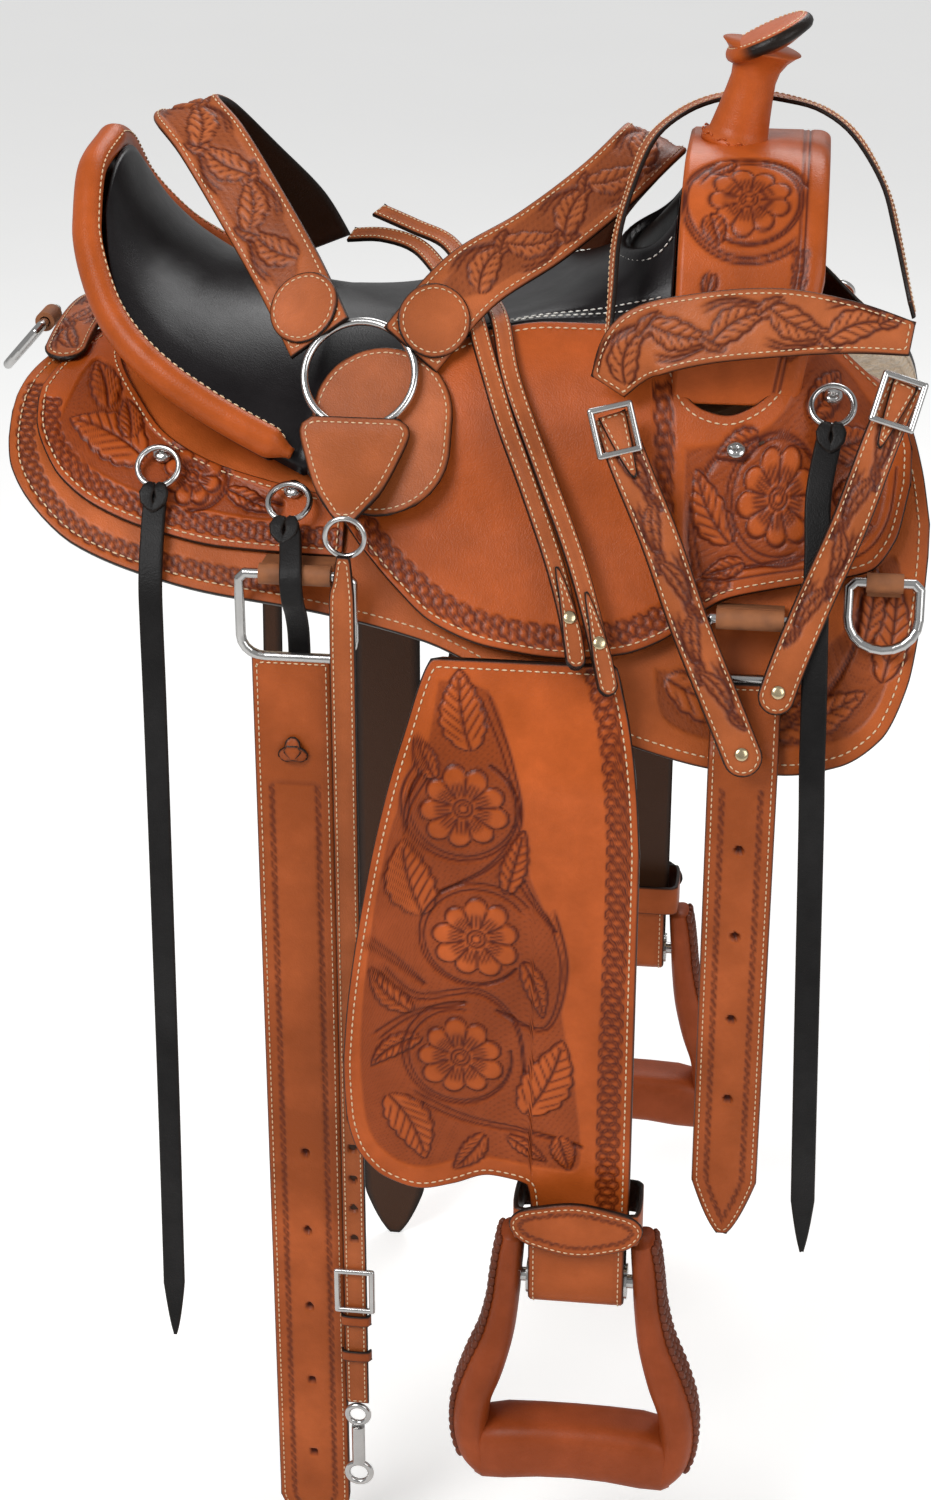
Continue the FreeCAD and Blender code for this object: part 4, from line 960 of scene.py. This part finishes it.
back = Tooling(np.array([[(u, v) for v in np.linspace(0, 100, 70)] for u in np.linspace(-157, 157, 220)]))
back.ground([(-120, 12), (120, 12), (128, 60), (40, 88), (-40, 88), (-128, 60)])
for side in (-1, 1):
    back.leaf((side * 44, 50), (side * 88, 30), 16, 0.08 * side, 6)
    back.leaf((side * 60, 66), (side * 118, 56), 13, -0.06 * side, 6)
    back.leaf((side * 92, 22), (side * 124, 28), 7)
    back.sprig([(side * 30, 20), (side * 60, 14), (side * 92, 20)])
back.curl(0, 46, 38, 0, 340, 6)
back.flower(0, 46, 32, 9, 0.2)
leather_piece("cantle_back", back, on_cantle, 3.0, SADDLE, ("saddle",), ("cantle_back",))


# ---------------------------------------------------------------- straps
# Every strap is cut from harness leather, its edges beveled and blacked. This makes one along a line of points, as
# wide as said at each, with its face turned the way out.
class Strap:
    def __init__(self, path, width, out, thick, step=1.9, tip=None, head=None):
        outs = out if hasattr(out[0], "__len__") else [out] * len(path)
        wide = width if hasattr(width, "__len__") else [width] * len(path)
        rows = evenly(smooth([[*p, w, *o] for p, w, o in zip(path, wide, outs)]), 5)
        self.thick = thick
        self.middle = rows[:, :3]
        way = np.gradient(self.middle, axis=0)
        self.across = unit(np.cross(rows[:, 4:], way))
        self.normal = unit(np.cross(way, self.across))
        self.run = travelled(self.middle)
        self.length = self.run[-1]
        count = max(8, round(self.length / step))
        lead = np.array([0.0, 0.4, 1.0])
        at = np.concatenate([lead, np.linspace(1.8, self.length - 1.8, count), self.length - lead[::-1]])
        half = np.interp(at, self.run, rows[:, 3]) / 2
        for kind, gap in ((head, at), (tip, self.length - at)):
            if kind == "round":
                t = np.clip(gap / half, 0, 1)
                half = np.maximum(half * np.sqrt(np.maximum(1 - (1 - t) ** 2, 0)), 1.0)
            elif kind == "point":
                half = np.maximum(half * np.clip(gap / 46 * 0.95 + 0.05, 0, 1) ** 0.62, 1.0)
        n = max(8, round(rows[:, 3].max() / 1.7))
        edge = np.array([0, 0.05, 0.13])
        k = np.concatenate([-1 + edge, np.linspace(-0.8, 0.8, n), 1 - edge[::-1]])
        self.tooling = Tooling(np.stack([np.repeat(at[:, None], len(k), 1), half[:, None] * k[None]], -1))

    def place(self, flat, height):
        l, v = flat[..., 0], flat[..., 1]
        middle, across, normal = (look_up(l, self.run, a) for a in (self.middle, self.across, self.normal))
        return middle + across * v[..., None] + normal * np.asarray(self.thick / 2 + height)[..., None]

    def make(self, name, material, bodies, stands_for=(), sewn=3.6, pitch=4.6, slot="strap_leather"):
        leather_piece(name, self.tooling, self.place, self.thick, material, bodies, stands_for, 4)
        if sewn:
            line = self.tooling.inset(sewn, 3.0)
            stitches(name, [self.place(line, 0.3)], bodies, pitch, pitch * 0.7, 0.5)


    def vine(self, low, high, half):
        """Wavy stem with a leaf on either side in turn."""
        t, side = low, 1
        while t < high - 30:
            self.tooling.leaf((t, -side * half * 0.55), (t + 36, side * half * 0.4), half * 0.62, 0.1 * side, 4)
            self.tooling.sprig([(t - 4, side * half * 0.7), (t + 12, side * half * 0.95),
                                (t + 30, side * half * 0.75)], 4.4)
            self.tooling.leaf((t + 30, side * half * 0.25), (t + 46, side * half * 0.95), half * 0.34, 0, 3)
            t, side = t + 38, -side


HARNESS = leather("light harness leather", (0.48, 0.118, 0.028), (0.085, 0.012, 0.004), rough=0.4, coat=0.06)

# ---------------------------------------------------------------- housing strap behind the cantle
# A short tooled strap lies across the back behind the cantle and holds the rear dee in a fold of leather.
housing_points = []
for s, side in ((74, 1), (50, 1), (25, 1), (0, 1), (25, -1), (50, -1), (74, -1)):
    p = on_back(np.array([-272.0, float(s)]), 24.0)
    housing_points.append((p[0], p[1] * side, p[2]))
housing = Strap(housing_points, 30, (0, 0.01, 1), 3.6, head="round", tip="round")
housing.vine(12, housing.length - 10, 11)
housing.make("rear_housing", HARNESS, ("saddle",), ("rear_housing",))

# ---------------------------------------------------------------- billets and latigo
# Broad cinch straps hang from the rigging dees. The flank billets are stamped along both edges, pierced for the
# buckle and drawn through a slit keeper; the near-side front strap is a plain latigo.
STRAP = leather("tan billet leather", (0.44, 0.090, 0.013), (0.09, 0.012, 0.003), rough=0.4, coat=0.06)


def pierce(tooling, places):
    for l, v in places:
        far = np.hypot(tooling.flat[..., 0] - l, tooling.flat[..., 1] - v)
        inside = 1 - ease(2.6, 3.4, far)
        # Each hole is a dip painted dark: painted shade for the opening through the strap.
        tooling.height -= inside * 3
        tooling.stain = np.maximum(tooling.stain, inside)


BILLETS = ("rear_billet_right", "rear_billet_left")
billet = Strap([(-91, -211, -139), (-91, -211, -250), (-91, -211, -500), (-91, -211, -700), (-91, -211, -890)], 54,
               (0, -1, 0), 5, tip="point")
billet.tooling.scallops(9.5, 7.4, 3.6, ease(92, 94, billet.tooling.flat[..., 0]))
billet.tooling.cut([(92, -15), (92, 15)], 0.8, 0.5)
pierce(billet.tooling, [(390 + 68 * i, 0) for i in range(5)])
billet.make("rear_billet", STRAP, BILLETS, ("rear_billet",))
for k, angle in enumerate((90, 210, 330)):
    a, b = math.radians(angle), math.radians(angle + 120)
    knot = Strap([(-91 + 11 * math.cos(a), -214.6, -206 + 10 * math.sin(a)), (-91, -218.5, -206),
                  (-91 + 11 * math.cos(b), -214.6, -206 + 10 * math.sin(b))], [7, 12, 7], (0, -1, 0.01), 2.6, 1.4,
                 "round", "round")
    knot.make("billet_keeper_%d" % k, STRAP, BILLETS, sewn=None)
lean = math.radians(3)


def leaned(z):
    """Place down the front strap, which hangs three degrees out over the skirt's edge."""
    run = z + 192
    return (212, -234.5 - run * math.sin(lean), -192 + run * math.cos(lean))


front_top = [(212, -213.5, -141), (212, -214, -151), (212, -226, -178)]
front = Strap(front_top + [leaned(z) for z in (-200, -300, -430, -572)], 46, (0, -1, 0), 4.6, tip="point")
front.tooling.scallops(8.6, 7.2, 3.4, ease(70, 72, front.tooling.flat[..., 0]))
pierce(front.tooling, [(118 + 67 * i, 0) for i in range(4)])
front.make("front_billet", STRAP, ("front_billet_right",), ("front_billet_right",))
latigo = Strap([(x, -y, z) for x, y, z in front_top + [leaned(z) for z in (-200, -300, -440, -600)]], 46, (0, 1, 0),
               4.6, tip="point")
pierce(latigo.tooling, [(192 + 50 * i, 0) for i in range(5)])
latigo.make("latigo", STRAP, ("latigo_left",), ("latigo_left",), sewn=None)

# ---------------------------------------------------------------- stirrup leathers, keepers and stirrups
# The stirrup leather comes down behind the fender, goes round the stirrup's roller and is held by a stamped keeper.
# The stirrup is a bell of wood covered in leather, laced with a braid up both outer edges.
PIN = (111, -247, -597)
keeper_front = Strap([(64, -268, -539), (80, -271.6, -539), (111, -272.6, -539), (142, -271.6, -539),
                      (158, -268, -539)], [20, 32, 44, 32, 20], (0, -1, 0), 3.6, 1.3, "round", "round")
keeper_front.tooling.scallops(6.4, 6.2, 3.0)
keeper_front.make("keeper_front", STRAP, FENDERS, (), 3.4)
keeper_loop = Strap([(111, -224, -539), (72, -224, -539), (67.5, -232, -539), (67.5, -262, -539), (74, -269, -539),
                     (111, -269.5, -539), (148, -269, -539), (154.5, -262, -539), (154.5, -232, -539),
                     (150, -224, -539), (111.5, -224, -539)], 26,
                    [(0, 1, 0), (-0.4, 1, 0), (-1, 0.5, 0), (-1, -0.5, 0), (-0.4, -1, 0), (0, -1, 0), (0.4, -1, 0),
                     (1, -0.5, 0), (1, 0.5, 0), (0.4, 1, 0), (0, 1, 0)], 3)
keeper_loop.make("keeper_loop", STRAP, FENDERS, ("stirrup_keeper",), sewn=None)
loop_path = [(111, -229.5, -535), (111, -231, -560), (111, -231.5, -590)]
loop_path += [(111, -247 + 15.5 * math.cos(a), -597 - 15.5 * math.sin(a)) for a in np.linspace(0.3, 2.84, 7)]
loop_path += [(111, -262.5, -590), (111, -263, -560), (111, -264.5, -535)]
loop_out = [(0, p[1] + 247, min(0.0, p[2] + 597)) for p in loop_path]
leg = Strap(loop_path, 68, loop_out, 4.6)
leg.tooling.cut([(8, -28), (leg.length - 4, -28)], 0.7, 0.3, 0.6)
leg.make("stirrup_leather", STRAP, FENDERS, ("stirrup_leather",), 3.8)


def lofted(name, sections, stands_for=(), power=2.6, count=40):
    """Closed body through sections of (centre, half-way vector a, half-way vector b), rounded like a worn bar."""
    t = np.arange(count) / count * 2 * np.pi
    c, s = (np.sign(f(t)) * np.abs(f(t)) ** (2 / power) for f in (np.cos, np.sin))
    rings = np.array([np.array(centre)[None] + np.outer(c, a) + np.outer(s, b) for centre, a, b in sections])
    zeros = np.zeros(len(rings) * count)
    for body, mirror, ending in sides(STIRRUPS):
        made = finish_mesh(name + ending, rings.reshape(-1, 3), ring_faces(len(rings), count),
                           {"stain": zeros, "edge": zeros}, None, WORN, mirror)
        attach(made, body)
        if stands_for:
            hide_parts(*[node + ending for node in stands_for])


WORN = leather("stirrup leather", (0.34, 0.060, 0.009), (0.06, 0.010, 0.003), rough=0.45, coat=0.06)
arm_shape = smooth([(46, 38, 8.5, 14.5), (48, 22, 9.5, 15), (50, 2, 10, 15.5), (52, -20, 10.5, 16), (57, -50, 12, 18),
                    (66, -80, 14, 20.5), (74, -106, 13.5, 22), (76, -130, 13, 23), (72, -150, 13, 23),
                    (62, -163, 13, 22)], 6)
lacing = []
STIRRUPS = ("stirrup_right", "stirrup_left")
for side in (1, -1):
    line = np.array([(PIN[0] + side * x, PIN[1], PIN[2] + z) for x, z, _, _ in arm_shape])
    sections = [(p, np.array([w[2], 0, -w[0]]) * thick, np.array([0, deep, 0]))
                for p, w, (_, _, thick, deep) in zip(line, unit(np.gradient(line, axis=0)), arm_shape)]
    lofted("stirrup_arm_%s" % ("front" if side > 0 else "rear"), sections, ("stirrup",) if side > 0 else ())
    outer_line = np.array([p + a * (1 if a[0] * side > 0 else -1) for p, a, _ in sections])
    for off in (-1, 1):
        lacing.append(outer_line[2:-6] + (side * 0.6, off * 4.2, 0))
        lacing.append(outer_line[2:-6] + (0, off * 10.5, 0))
tread = [((PIN[0] + x, PIN[1], PIN[2] - 146 - 0.0012 * x * x), np.array([0, 24 * k, 0]), np.array([0, 0, 25 * k]))
         for x, k in [(-72, 0.82), (-66, 0.95), (-50, 1.0), (-25, 0.97), (0, 0.96), (25, 0.97), (50, 1.0), (66, 0.95),
                      (72, 0.82)]]
lofted("stirrup_tread", tread, (), 3.4, 48)
# the braid: short crossed lace ends, one over the next
LACE = leather("lacing", (0.17, 0.035, 0.010), (0.03, 0.008, 0.004), rough=0.5)
stitches("stirrup_lacing", lacing, STIRRUPS, 7.0, 9.0, 3.0, LACE)

# ---------------------------------------------------------------- saddle strings
# Long strings of black latigo hang from a ring and clip at each corner of the seat. Each is slit at its head and drawn
# through itself, so it grips the ring in a small flat braid.
STRING = leather("black string leather", (0.004, 0.003, 0.003), (0.003, 0.003, 0.003), rough=0.5, grain=0.3, coat=0.02)


def string_top(x, s, low, rise, first):
    """Middle of the ring that hangs from a clip, and the way the string leaves it."""
    head = on_back(np.array([float(x), float(s)]), low + rise)
    slope = unit((np.array(first, float) - head) * (0, 1, 1))
    return head + slope * 14, slope


STRINGS = {
    "rear": (-188, 142, REAR_TOP, 9.5, 16, [(-187, -190, -62), (-186, -207, -90), (-185.5, -212, -120),
                                            (-186, -212, -180), (-188, -212, -320), (-191, -212, -500),
                                            (-195, -212, -700)]),
    "middle": (-97, 157, REAR_TOP, 9.5, 15, [(-94, -190, -56), (-90, -211, -68), (-88.5, -221.5, -80), (-88, -219, -96),
                                             (-88, -208, -110), (-88, -201, -124), (-88, -199, -138),
                                             (-88, -199, -152)]),
    "front": (258, 98, jockey_height(258, 98) + JOCKEY_THICK, 11.5, 17,
              [(252, -177, -20), (253, -196, -52), (254, -212, -92), (256, -231, -150), (257, -237, -190),
               (259, -236, -240), (264, -226, -400), (270, -212, -585)])}
for place_name, (x, s, low, rise, width, route) in STRINGS.items():
    centre, slope = string_top(x, s, low, rise, route[0])
    bodies = ON_SADDLE if place_name == "middle" else tuple(
        "%s_string_%s" % (place_name, side) for side in ("right", "left"))
    hung = Strap([centre + slope * 17.2] + route, width, (0, -1, 0.2), 3.0,
                 tip=None if place_name == "middle" else "point")
    made = leather_piece("string_" + place_name, hung.tooling, hung.place, 3.0, STRING, bodies, (), 4)
    for piece, side in zip(made, ("right", "left")):
        if place_name != "middle":
            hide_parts("string_%s_%s" % (place_name, side))
        elif side == "right":
            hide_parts("strings_middle")
    for k, sign in enumerate((-1, 1)):
        out = np.array([0, slope[2], -slope[1]])
        out = out if out[1] < 0 else -out
        lap = Strap([centre + slope * down + out * off + (sign * aside, 0, 0) for down, off, aside in
                     ((12.5, 1.5, 1.5), (17, 4, 4), (24, 3.4, 5.5), (33, 1.6, -1.0))], [6, 9, 9, 4], out, 2.6, 1.4,
                    "round", "round")
        lap.make("string_head_%s_%d" % (place_name, k), STRING, bodies, sewn=None, slot="string_leather")

# ---------------------------------------------------------------- breast collar laid over the seat
# The breast collar hangs over the saddle by its ring: two tooled arms with plain rounded chafes at the ring, a round
# shield, and a tapered tug that holds a small ring for the tie strap.
SLOPE = np.array([0, -0.586, -0.811])
OUTWARD = np.array([0, -0.811, 0.586])
RING_AT = np.array([-53.0, -143, 37])
rear_end, front_end = (RING_AT + np.array([37 * a, 0, 0]) + SLOPE * 37 * d for a, d in ((-0.77, -0.64), (0.88, -0.48)))


def turning(lean_x, first, last, count=9):
    return [(lean_x, math.sin(math.radians(a)), math.cos(math.radians(a))) for a in np.linspace(first, last, count)]


rear_path = [rear_end + OUTWARD * 1.5, (-107, -95, 89), (-137, -60, 123), (-172, -24, 162), (-196, 6, 178),
             (-190, 40, 168), (-168, 84, 128), (-144, 128, 84), (-130, 158, 44)]
front_path = [front_end + OUTWARD * 1.5, (15, -98, 90), (58, -60, 112), (98, -26, 139), (124, 6, 160),
              (128, 38, 158), (108, 78, 130), (84, 116, 94), (64, 148, 50)]
for name, path, width, face_turn in (("rear", rear_path, 48, turning(-0.3, -62, 55)),
                                     ("front", front_path, 46, turning(0.4, -60, 55))):
    arm = Strap(path, width, face_turn, 3.4)
    arm.tooling.ground([(64, -width * 0.32), (arm.length - 10, -width * 0.32), (arm.length - 10, width * 0.32),
                        (64, width * 0.32)], 0.3)
    arm.vine(62, arm.length - 14, width * 0.38)
    arm.make("collar_%s_arm" % name, HARNESS, ("breast_collar",), ("breast_collar",) if name == "rear" else (), 3.8)
    middle, normal = arm.middle[:12:2], arm.normal[:12:2]
    chafe = Strap(middle + unit(normal) * 3.2, width + 2, normal, 2.6, head="round", tip="round")
    chafe.make("collar_%s_chafe" % name, HARNESS, ("breast_collar",), (), 3.4)
shield_at = np.array([-37.0, -160, 5]) - OUTWARD * 2.9
shield = Strap([shield_at + SLOPE * down for down in (-58, -20, 20, 58)], 94, OUTWARD, 3.2, 2.2, "round", "round")
shield.make("collar_shield", HARNESS, ("breast_collar",), (), 4)
tug = Strap([RING_AT + SLOPE * 30 + OUTWARD * 2.5, RING_AT + SLOPE * 38.5 + OUTWARD * 1.2, (-53, -183, -11),
             (-53, -199, -26), (-53, -211, -35), (-53, -214.5, -40)], [58, 74, 60, 42, 22, 12], OUTWARD, 3.6)
tug.make("collar_tug", HARNESS, ("breast_collar",), (), 4)

# ---------------------------------------------------------------- tie strap
# A narrow strap hangs from the collar's small ring, with a roller buckle, a keeper and a snap at its end.
tie = Strap([(-53, -221.5, -62), (-54, -220.5, -84), (-55, -220, -110), (-55, -220, -300), (-55, -220, -745)],
            [9, 14, 17, 17, 17], (0, -1, 0), 3)
pierce(tie.tooling, [(430 + 26 * i, 0) for i in range(5)])
tie.make("tie_strap", HARNESS, ("tie_strap",), ("tie_strap",), 2.6, 4.2)
for k, z in enumerate((-668, -700)):
    band = Strap([(-66, -219, z), (-64, -223.2, z), (-55, -223.8, z), (-46, -223.2, z), (-44, -219, z)], 9, (0, -1, 0),
                 1.8, 1.3)
    band.make("tie_keeper_%d" % k, STRAP, ("tie_strap",), (), None)

# ---------------------------------------------------------------- reins
# Two narrow stitched reins lie across the seat; each ends in a loop closed with a chicago screw.
rein_paths = ([(-93, 75, 74), (-65, 55, 80), (-36, 30, 78), (-8, -20, 67), (14, -86, 70), (29, -127, 48),
               (46, -161, 14), (65, -180, -27), (84, -203, -69), (96, -222, -103), (102, -240, -126)],
              [(-73, 78, 92), (-42, 50, 88), (-14, 22, 84), (10, -30, 72), (34, -95, 67), (48, -140, 36),
               (74, -175, -16), (97, -203, -63), (113, -228, -104), (124, -248, -140)])
screws = []
for k, path in enumerate(rein_paths):
    rein = Strap(path, 13, (0.1, -0.6, 0.8), 3, tip="round")
    rein.tooling.cut([(4, 0), (rein.length - 60, 0)], 0.7, 0.35, 0.7)
    rein.make("rein_%d" % k, HARNESS, ("reins",), ("reins",) if k == 0 else (), 2.4, 4.2)
    fold = len(rein.middle) - 1
    lap_index = [fold - 14, fold - 10, fold - 6, fold - 2, fold]
    lap = Strap([rein.middle[i] + rein.normal[i] * (3.6 if n else 2.9) for n, i in enumerate(lap_index)], 13,
                rein.normal[lap_index], 2.6, head="point", tip="round")
    lap.make("rein_loop_%d" % k, HARNESS, ("reins",), (), 2.4, 4.2)
    screws.append(("reins", rein.middle[fold - 7] + rein.normal[fold - 7] * 5.0, rein.normal[fold - 7]))

# ---------------------------------------------------------------- headstall
# The headstall hangs round the horn: a rolled crown strap, a shaped and tooled browband, and two tooled cheeks that
# meet below it, with buckles at the top and brass-toned chicago screws at the bit ends.
BRIDLE_OUT = (0.11, -0.9, 0.42)          # the way the browband and cheeks face
crown = [(111, -140, 60), (111, -115, 88), (111, -85, 118), (117, -50, 143), (127, -15, 168), (146, 16, 181),
         (169, 29, 189), (195, 31, 192), (222, 24, 190), (246, 6, 186), (267, -15, 173), (286, -50, 148),
         (295, -85, 124), (301, -115, 104), (305, -138, 92)]
crown_outs = [(-1, 0, 0.3 + 0.1 * i) for i in range(4)] + [(-0.7, 0, 0.9), (-0.4, 0, 1), (-0.1, 0, 1), (0, 0, 1),
                                                         (0.2, 0, 1), (0.5, 0, 1), (0.8, 0, 0.8), (1, 0, 0.5),
                                                         (1, 0, 0.4), (1, 0, 0.3), (1, 0, 0.3)]
band = Strap(crown, 15, crown_outs, 3)
band.make("headstall_crown", HARNESS, ("headstall",), ("headstall",), 2.6, 4.2)
brow = Strap([(112, -152, 38), (132, -154, 67), (171, -156, 80), (221, -156, 86), (266, -154, 84), (306, -152, 77)],
             [26, 46, 46, 44, 34, 22], BRIDLE_OUT, 3.2, 1.6)
brow.vine(8, brow.length - 16, 17)
brow.make("headstall_brow", HARNESS, ("headstall",), (), 3.6)
cheeks = {"left": ([(116, -163, 22), (130, -184, -5), (152, -204, -48), (173, -221, -98), (195, -236, -144),
                    (217, -251, -190)], 26),
          "right": ([(303, -160, 50), (289, -178, 15), (273, -199, -31), (253, -213, -81), (238, -228, -120),
                     (228, -241, -150)], 24)}
for name, (path, width) in cheeks.items():
    cheek = Strap(path, width, BRIDLE_OUT, 3.4, 1.6, tip="round")
    cheek.vine(26, cheek.length - 36, width * 0.34)
    cheek.make("headstall_cheek_" + name, HARNESS, ("headstall",), (), 3.0)
    at = len(cheek.middle) - 4
    screws.append(("headstall", cheek.middle[at] + cheek.normal[at] * 1.9, cheek.normal[at]))
    flap = Strap(cheek.middle[:10:3] + cheek.normal[:10:3] * 3.2, width * 0.72, cheek.normal[:10:3], 2.6, 1.5,
                 tip="point")
    flap.make("headstall_flap_" + name, HARNESS, ("headstall",), (), 2.4, 4.2)

# ---------------------------------------------------------------- screws
# Domed screw heads with a cross slot hold the lobes and the string clips; plain domed chicago screws close the folds
# of the reins and cheeks. The Geometry Nodes tree sets a turned head on each place, square to the leather.
STEEL = plain_material("polished steel", (0.62, 0.61, 0.60), 0.2, 1.0, 35, 0.12, 0.06)
BRASS = plain_material("brass-toned screw", (0.66, 0.54, 0.34), 0.25, 1.0, 80, 0.15, 0.05)


def head_mesh(name, radius, height, material, slot_cut):
    """Turned screw head; a slotted one is sunk in its middle, with notches for the cross."""
    profile = [(1, 0), (1, 0.3), (0.9, 0.62), (0.6, 0.9), (0.28, 1)]
    n = 24
    inmost, foot, top = (len(profile) - 1) * n, len(profile) * n, len(profile) * n + 1
    points = [(radius * r * math.cos(t), radius * r * math.sin(t), height * h) for r, h in profile
              for t in np.arange(n) / n * 2 * np.pi]
    points += [(0, 0, 0), (0, 0, height * (0.55 if slot_cut else 1))]
    faces = [[i * n + j, i * n + (j + 1) % n, (i + 1) * n + (j + 1) % n, (i + 1) * n + j]
             for i in range(len(profile) - 1) for j in range(n)]
    faces += [[(j + 1) % n, j, foot] for j in range(n)] + [[inmost + j, inmost + (j + 1) % n, top] for j in range(n)]
    mesh = bpy.data.meshes.new(name)
    mesh.from_pydata((np.array(points) * 0.001).tolist(), [], faces)
    if slot_cut:
        for i in range(inmost, foot, n // 4):
            mesh.vertices[i].co *= 0.55
    mesh.shade_smooth()
    mesh.materials.append(material)
    return bpy.data.objects.new(name, mesh)


def head_tree():
    tree, sockets, new, link = start_tree("screw_heads", Places="Geometry", Head="Object", Material="Material")
    given, info = new("NodeGroupInput"), new("GeometryNodeObjectInfo")
    link(given.outputs["Head"], info.inputs["Object"])
    facing = new("GeometryNodeInputNamedAttribute")
    facing.data_type = "FLOAT_VECTOR"
    facing.inputs["Name"].default_value = "out"
    turn = new("FunctionNodeAlignRotationToVector")
    turn.axis = "Z"
    link(facing.outputs["Attribute"], turn.inputs["Vector"])
    spots = new("GeometryNodeInstanceOnPoints")
    link(given.outputs["Places"], spots.inputs["Points"])
    link(info.outputs["Geometry"], spots.inputs["Instance"])
    link(turn.outputs["Rotation"], spots.inputs["Rotation"])
    end_tree(new, link, given, spots)
    return tree, sockets


HEADS, HEAD_SOCKETS = head_tree()


def heads(name, places, head, material, body):
    mesh = bpy.data.meshes.new(name)
    mesh.from_pydata([tuple(np.array(p) * 0.001) for p, _ in places], [], [])
    mesh.attributes.new("out", "FLOAT_VECTOR", "POINT").data.foreach_set(
        "vector", np.array([n for _, n in places], np.float32).ravel())
    made = grown(bpy.data.objects.new(name + "_places", mesh), HEADS, HEAD_SOCKETS,
                 {"Head": head, "Material": material})
    shown = in_scene(name, made)
    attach(shown, body)


chicago = head_mesh("chicago_head", 4.6, 2.0, BRASS, False)
slotted = head_mesh("cross_head", 6.4, 3.0, STEEL, True)
for body in ("reins", "headstall"):
    heads("chicago_screws_" + body, [(p, n) for b, p, n in screws if b == body], chicago, BRASS, body)
fixings = []
for x, s, low in ((-188, 142, REAR_TOP), (-97, 157, REAR_TOP), (258, 98, jockey_height(258, 98) + JOCKEY_THICK),
                  (197, 130, jockey_height(197, 130) + JOCKEY_THICK)):
    foot, above = (on_back(np.array([float(x), float(s)]), low + h) for h in (2.6, 12.6))
    for side in (1, -1):
        fixings.append((foot * (1, side, 1), (above - foot) * (1, side, 1)))
heads("lobe_screws", fixings, slotted, STEEL, "saddle")
for head in (chicago, slotted):
    bpy.data.objects.remove(head)

# ---------------------------------------------------------------- parts that keep their own shape
# The dees, rings, buckles, clips and the snap are bent from round steel wire. The tree under the leather is wood
# covered in rawhide; the rigging straps, hangers and ground seat are undressed leather.
WOOD = plain_material("rawhide-covered wood", (0.52, 0.36, 0.20), 0.6, noise=30)
HIDDEN = plain_material("undressed leather", (0.28, 0.10, 0.035), 0.7, noise=80)
for material, names in (
        (STEEL, ("rear_dee_right", "rear_dee_left", "cinch_dees", "front_dee_right", "front_dee_left", "back_dee",
                 "string_ring_rear_right", "string_ring_rear_left", "string_ring_front_right",
                 "string_ring_front_left", "string_rings_middle", "breast_collar_rings", "tie_strap_hardware",
                 "headstall_buckles", "screws_and_clips", "stirrup_roller_right", "stirrup_roller_left", "horn_core")),
        (WOOD, ("tree_bars", "tree_fork", "tree_cantle")),
        (HIDDEN, ("fender_hangers", "ground_seat", "rigging_straps"))):
    for name in names:
        nodes[name].data.materials.clear()
        nodes[name].data.materials.append(material)

# ---------------------------------------------------------------- studio
# A pale floor under the hanging saddle, an even pale surround and three large soft lights.
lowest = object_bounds()[0][2]
mesh = bpy.data.meshes.new("floor")
mesh.from_pydata([(-9, -9, lowest), (9, -9, lowest), (9, 9, lowest), (-9, 9, lowest)], [], [(0, 1, 2, 3)])
floor = in_scene("floor", mesh)
paper = plain_material("pale studio floor", (0.86, 0.86, 0.85), 0.9, noise=3, vary=0.01, bump=0.02)
glow = paper.node_tree.nodes["Principled BSDF"]
glow.inputs["Emission Color"].default_value = (1, 1, 1, 1)


def seen_brighter(tree, lit, seen, socket):
    """Sets a strength to one value where it lights the saddle and to another where the camera looks at it."""
    ray, choice = tree.nodes.new("ShaderNodeLightPath"), tree.nodes.new("ShaderNodeMapRange")
    choice.inputs["To Min"].default_value, choice.inputs["To Max"].default_value = lit, seen
    tree.links.new(ray.outputs["Is Camera Ray"], choice.inputs["Value"])
    tree.links.new(choice.outputs["Result"], socket)


seen_brighter(paper.node_tree, 0, 0.42, glow.inputs["Emission Strength"])
mesh.materials.append(paper)
scene = bpy.context.scene
world = bpy.data.worlds.new("studio")
world.use_nodes = True
surround = world.node_tree.nodes["Background"]
surround.inputs["Color"].default_value = (1, 1, 1, 1)
seen_brighter(world.node_tree, 0.34, 0.92, surround.inputs["Strength"])
scene.world = world
scene.view_settings.view_transform = "Standard"
scene.view_settings.look = "None"
for name, place, size, power in (("key", (-1.3, -2.0, 1.9), 1.4, 58), ("fill", (2.1, -1.6, 0.9), 1.6, 20),
                                 ("rim", (0.3, 1.8, 1.8), 1.6, 30)):
    light = bpy.data.lights.new(name, "AREA")
    light.size, light.energy = size, power
    lamp = bpy.data.objects.new(name, light)
    lamp.location = place
    lamp.rotation_euler = (Vector((0, 0, -0.25)) - Vector(place)).to_track_quat("-Z", "Y").to_euler()
    scene.collection.objects.link(lamp)
lens = bpy.data.cameras.new("camera")
lens.lens, lens.sensor_width, lens.sensor_height, lens.sensor_fit = 66.6, 36, 36, "VERTICAL"
camera = bpy.data.objects.new("camera", lens)
camera.location = (0.232, -1.889, 0.588)
camera.rotation_euler = (Vector((0, 0, -0.300)) - Vector(camera.location)).to_track_quat("-Z", "Y").to_euler()
scene.collection.objects.link(camera)
scene.camera = camera
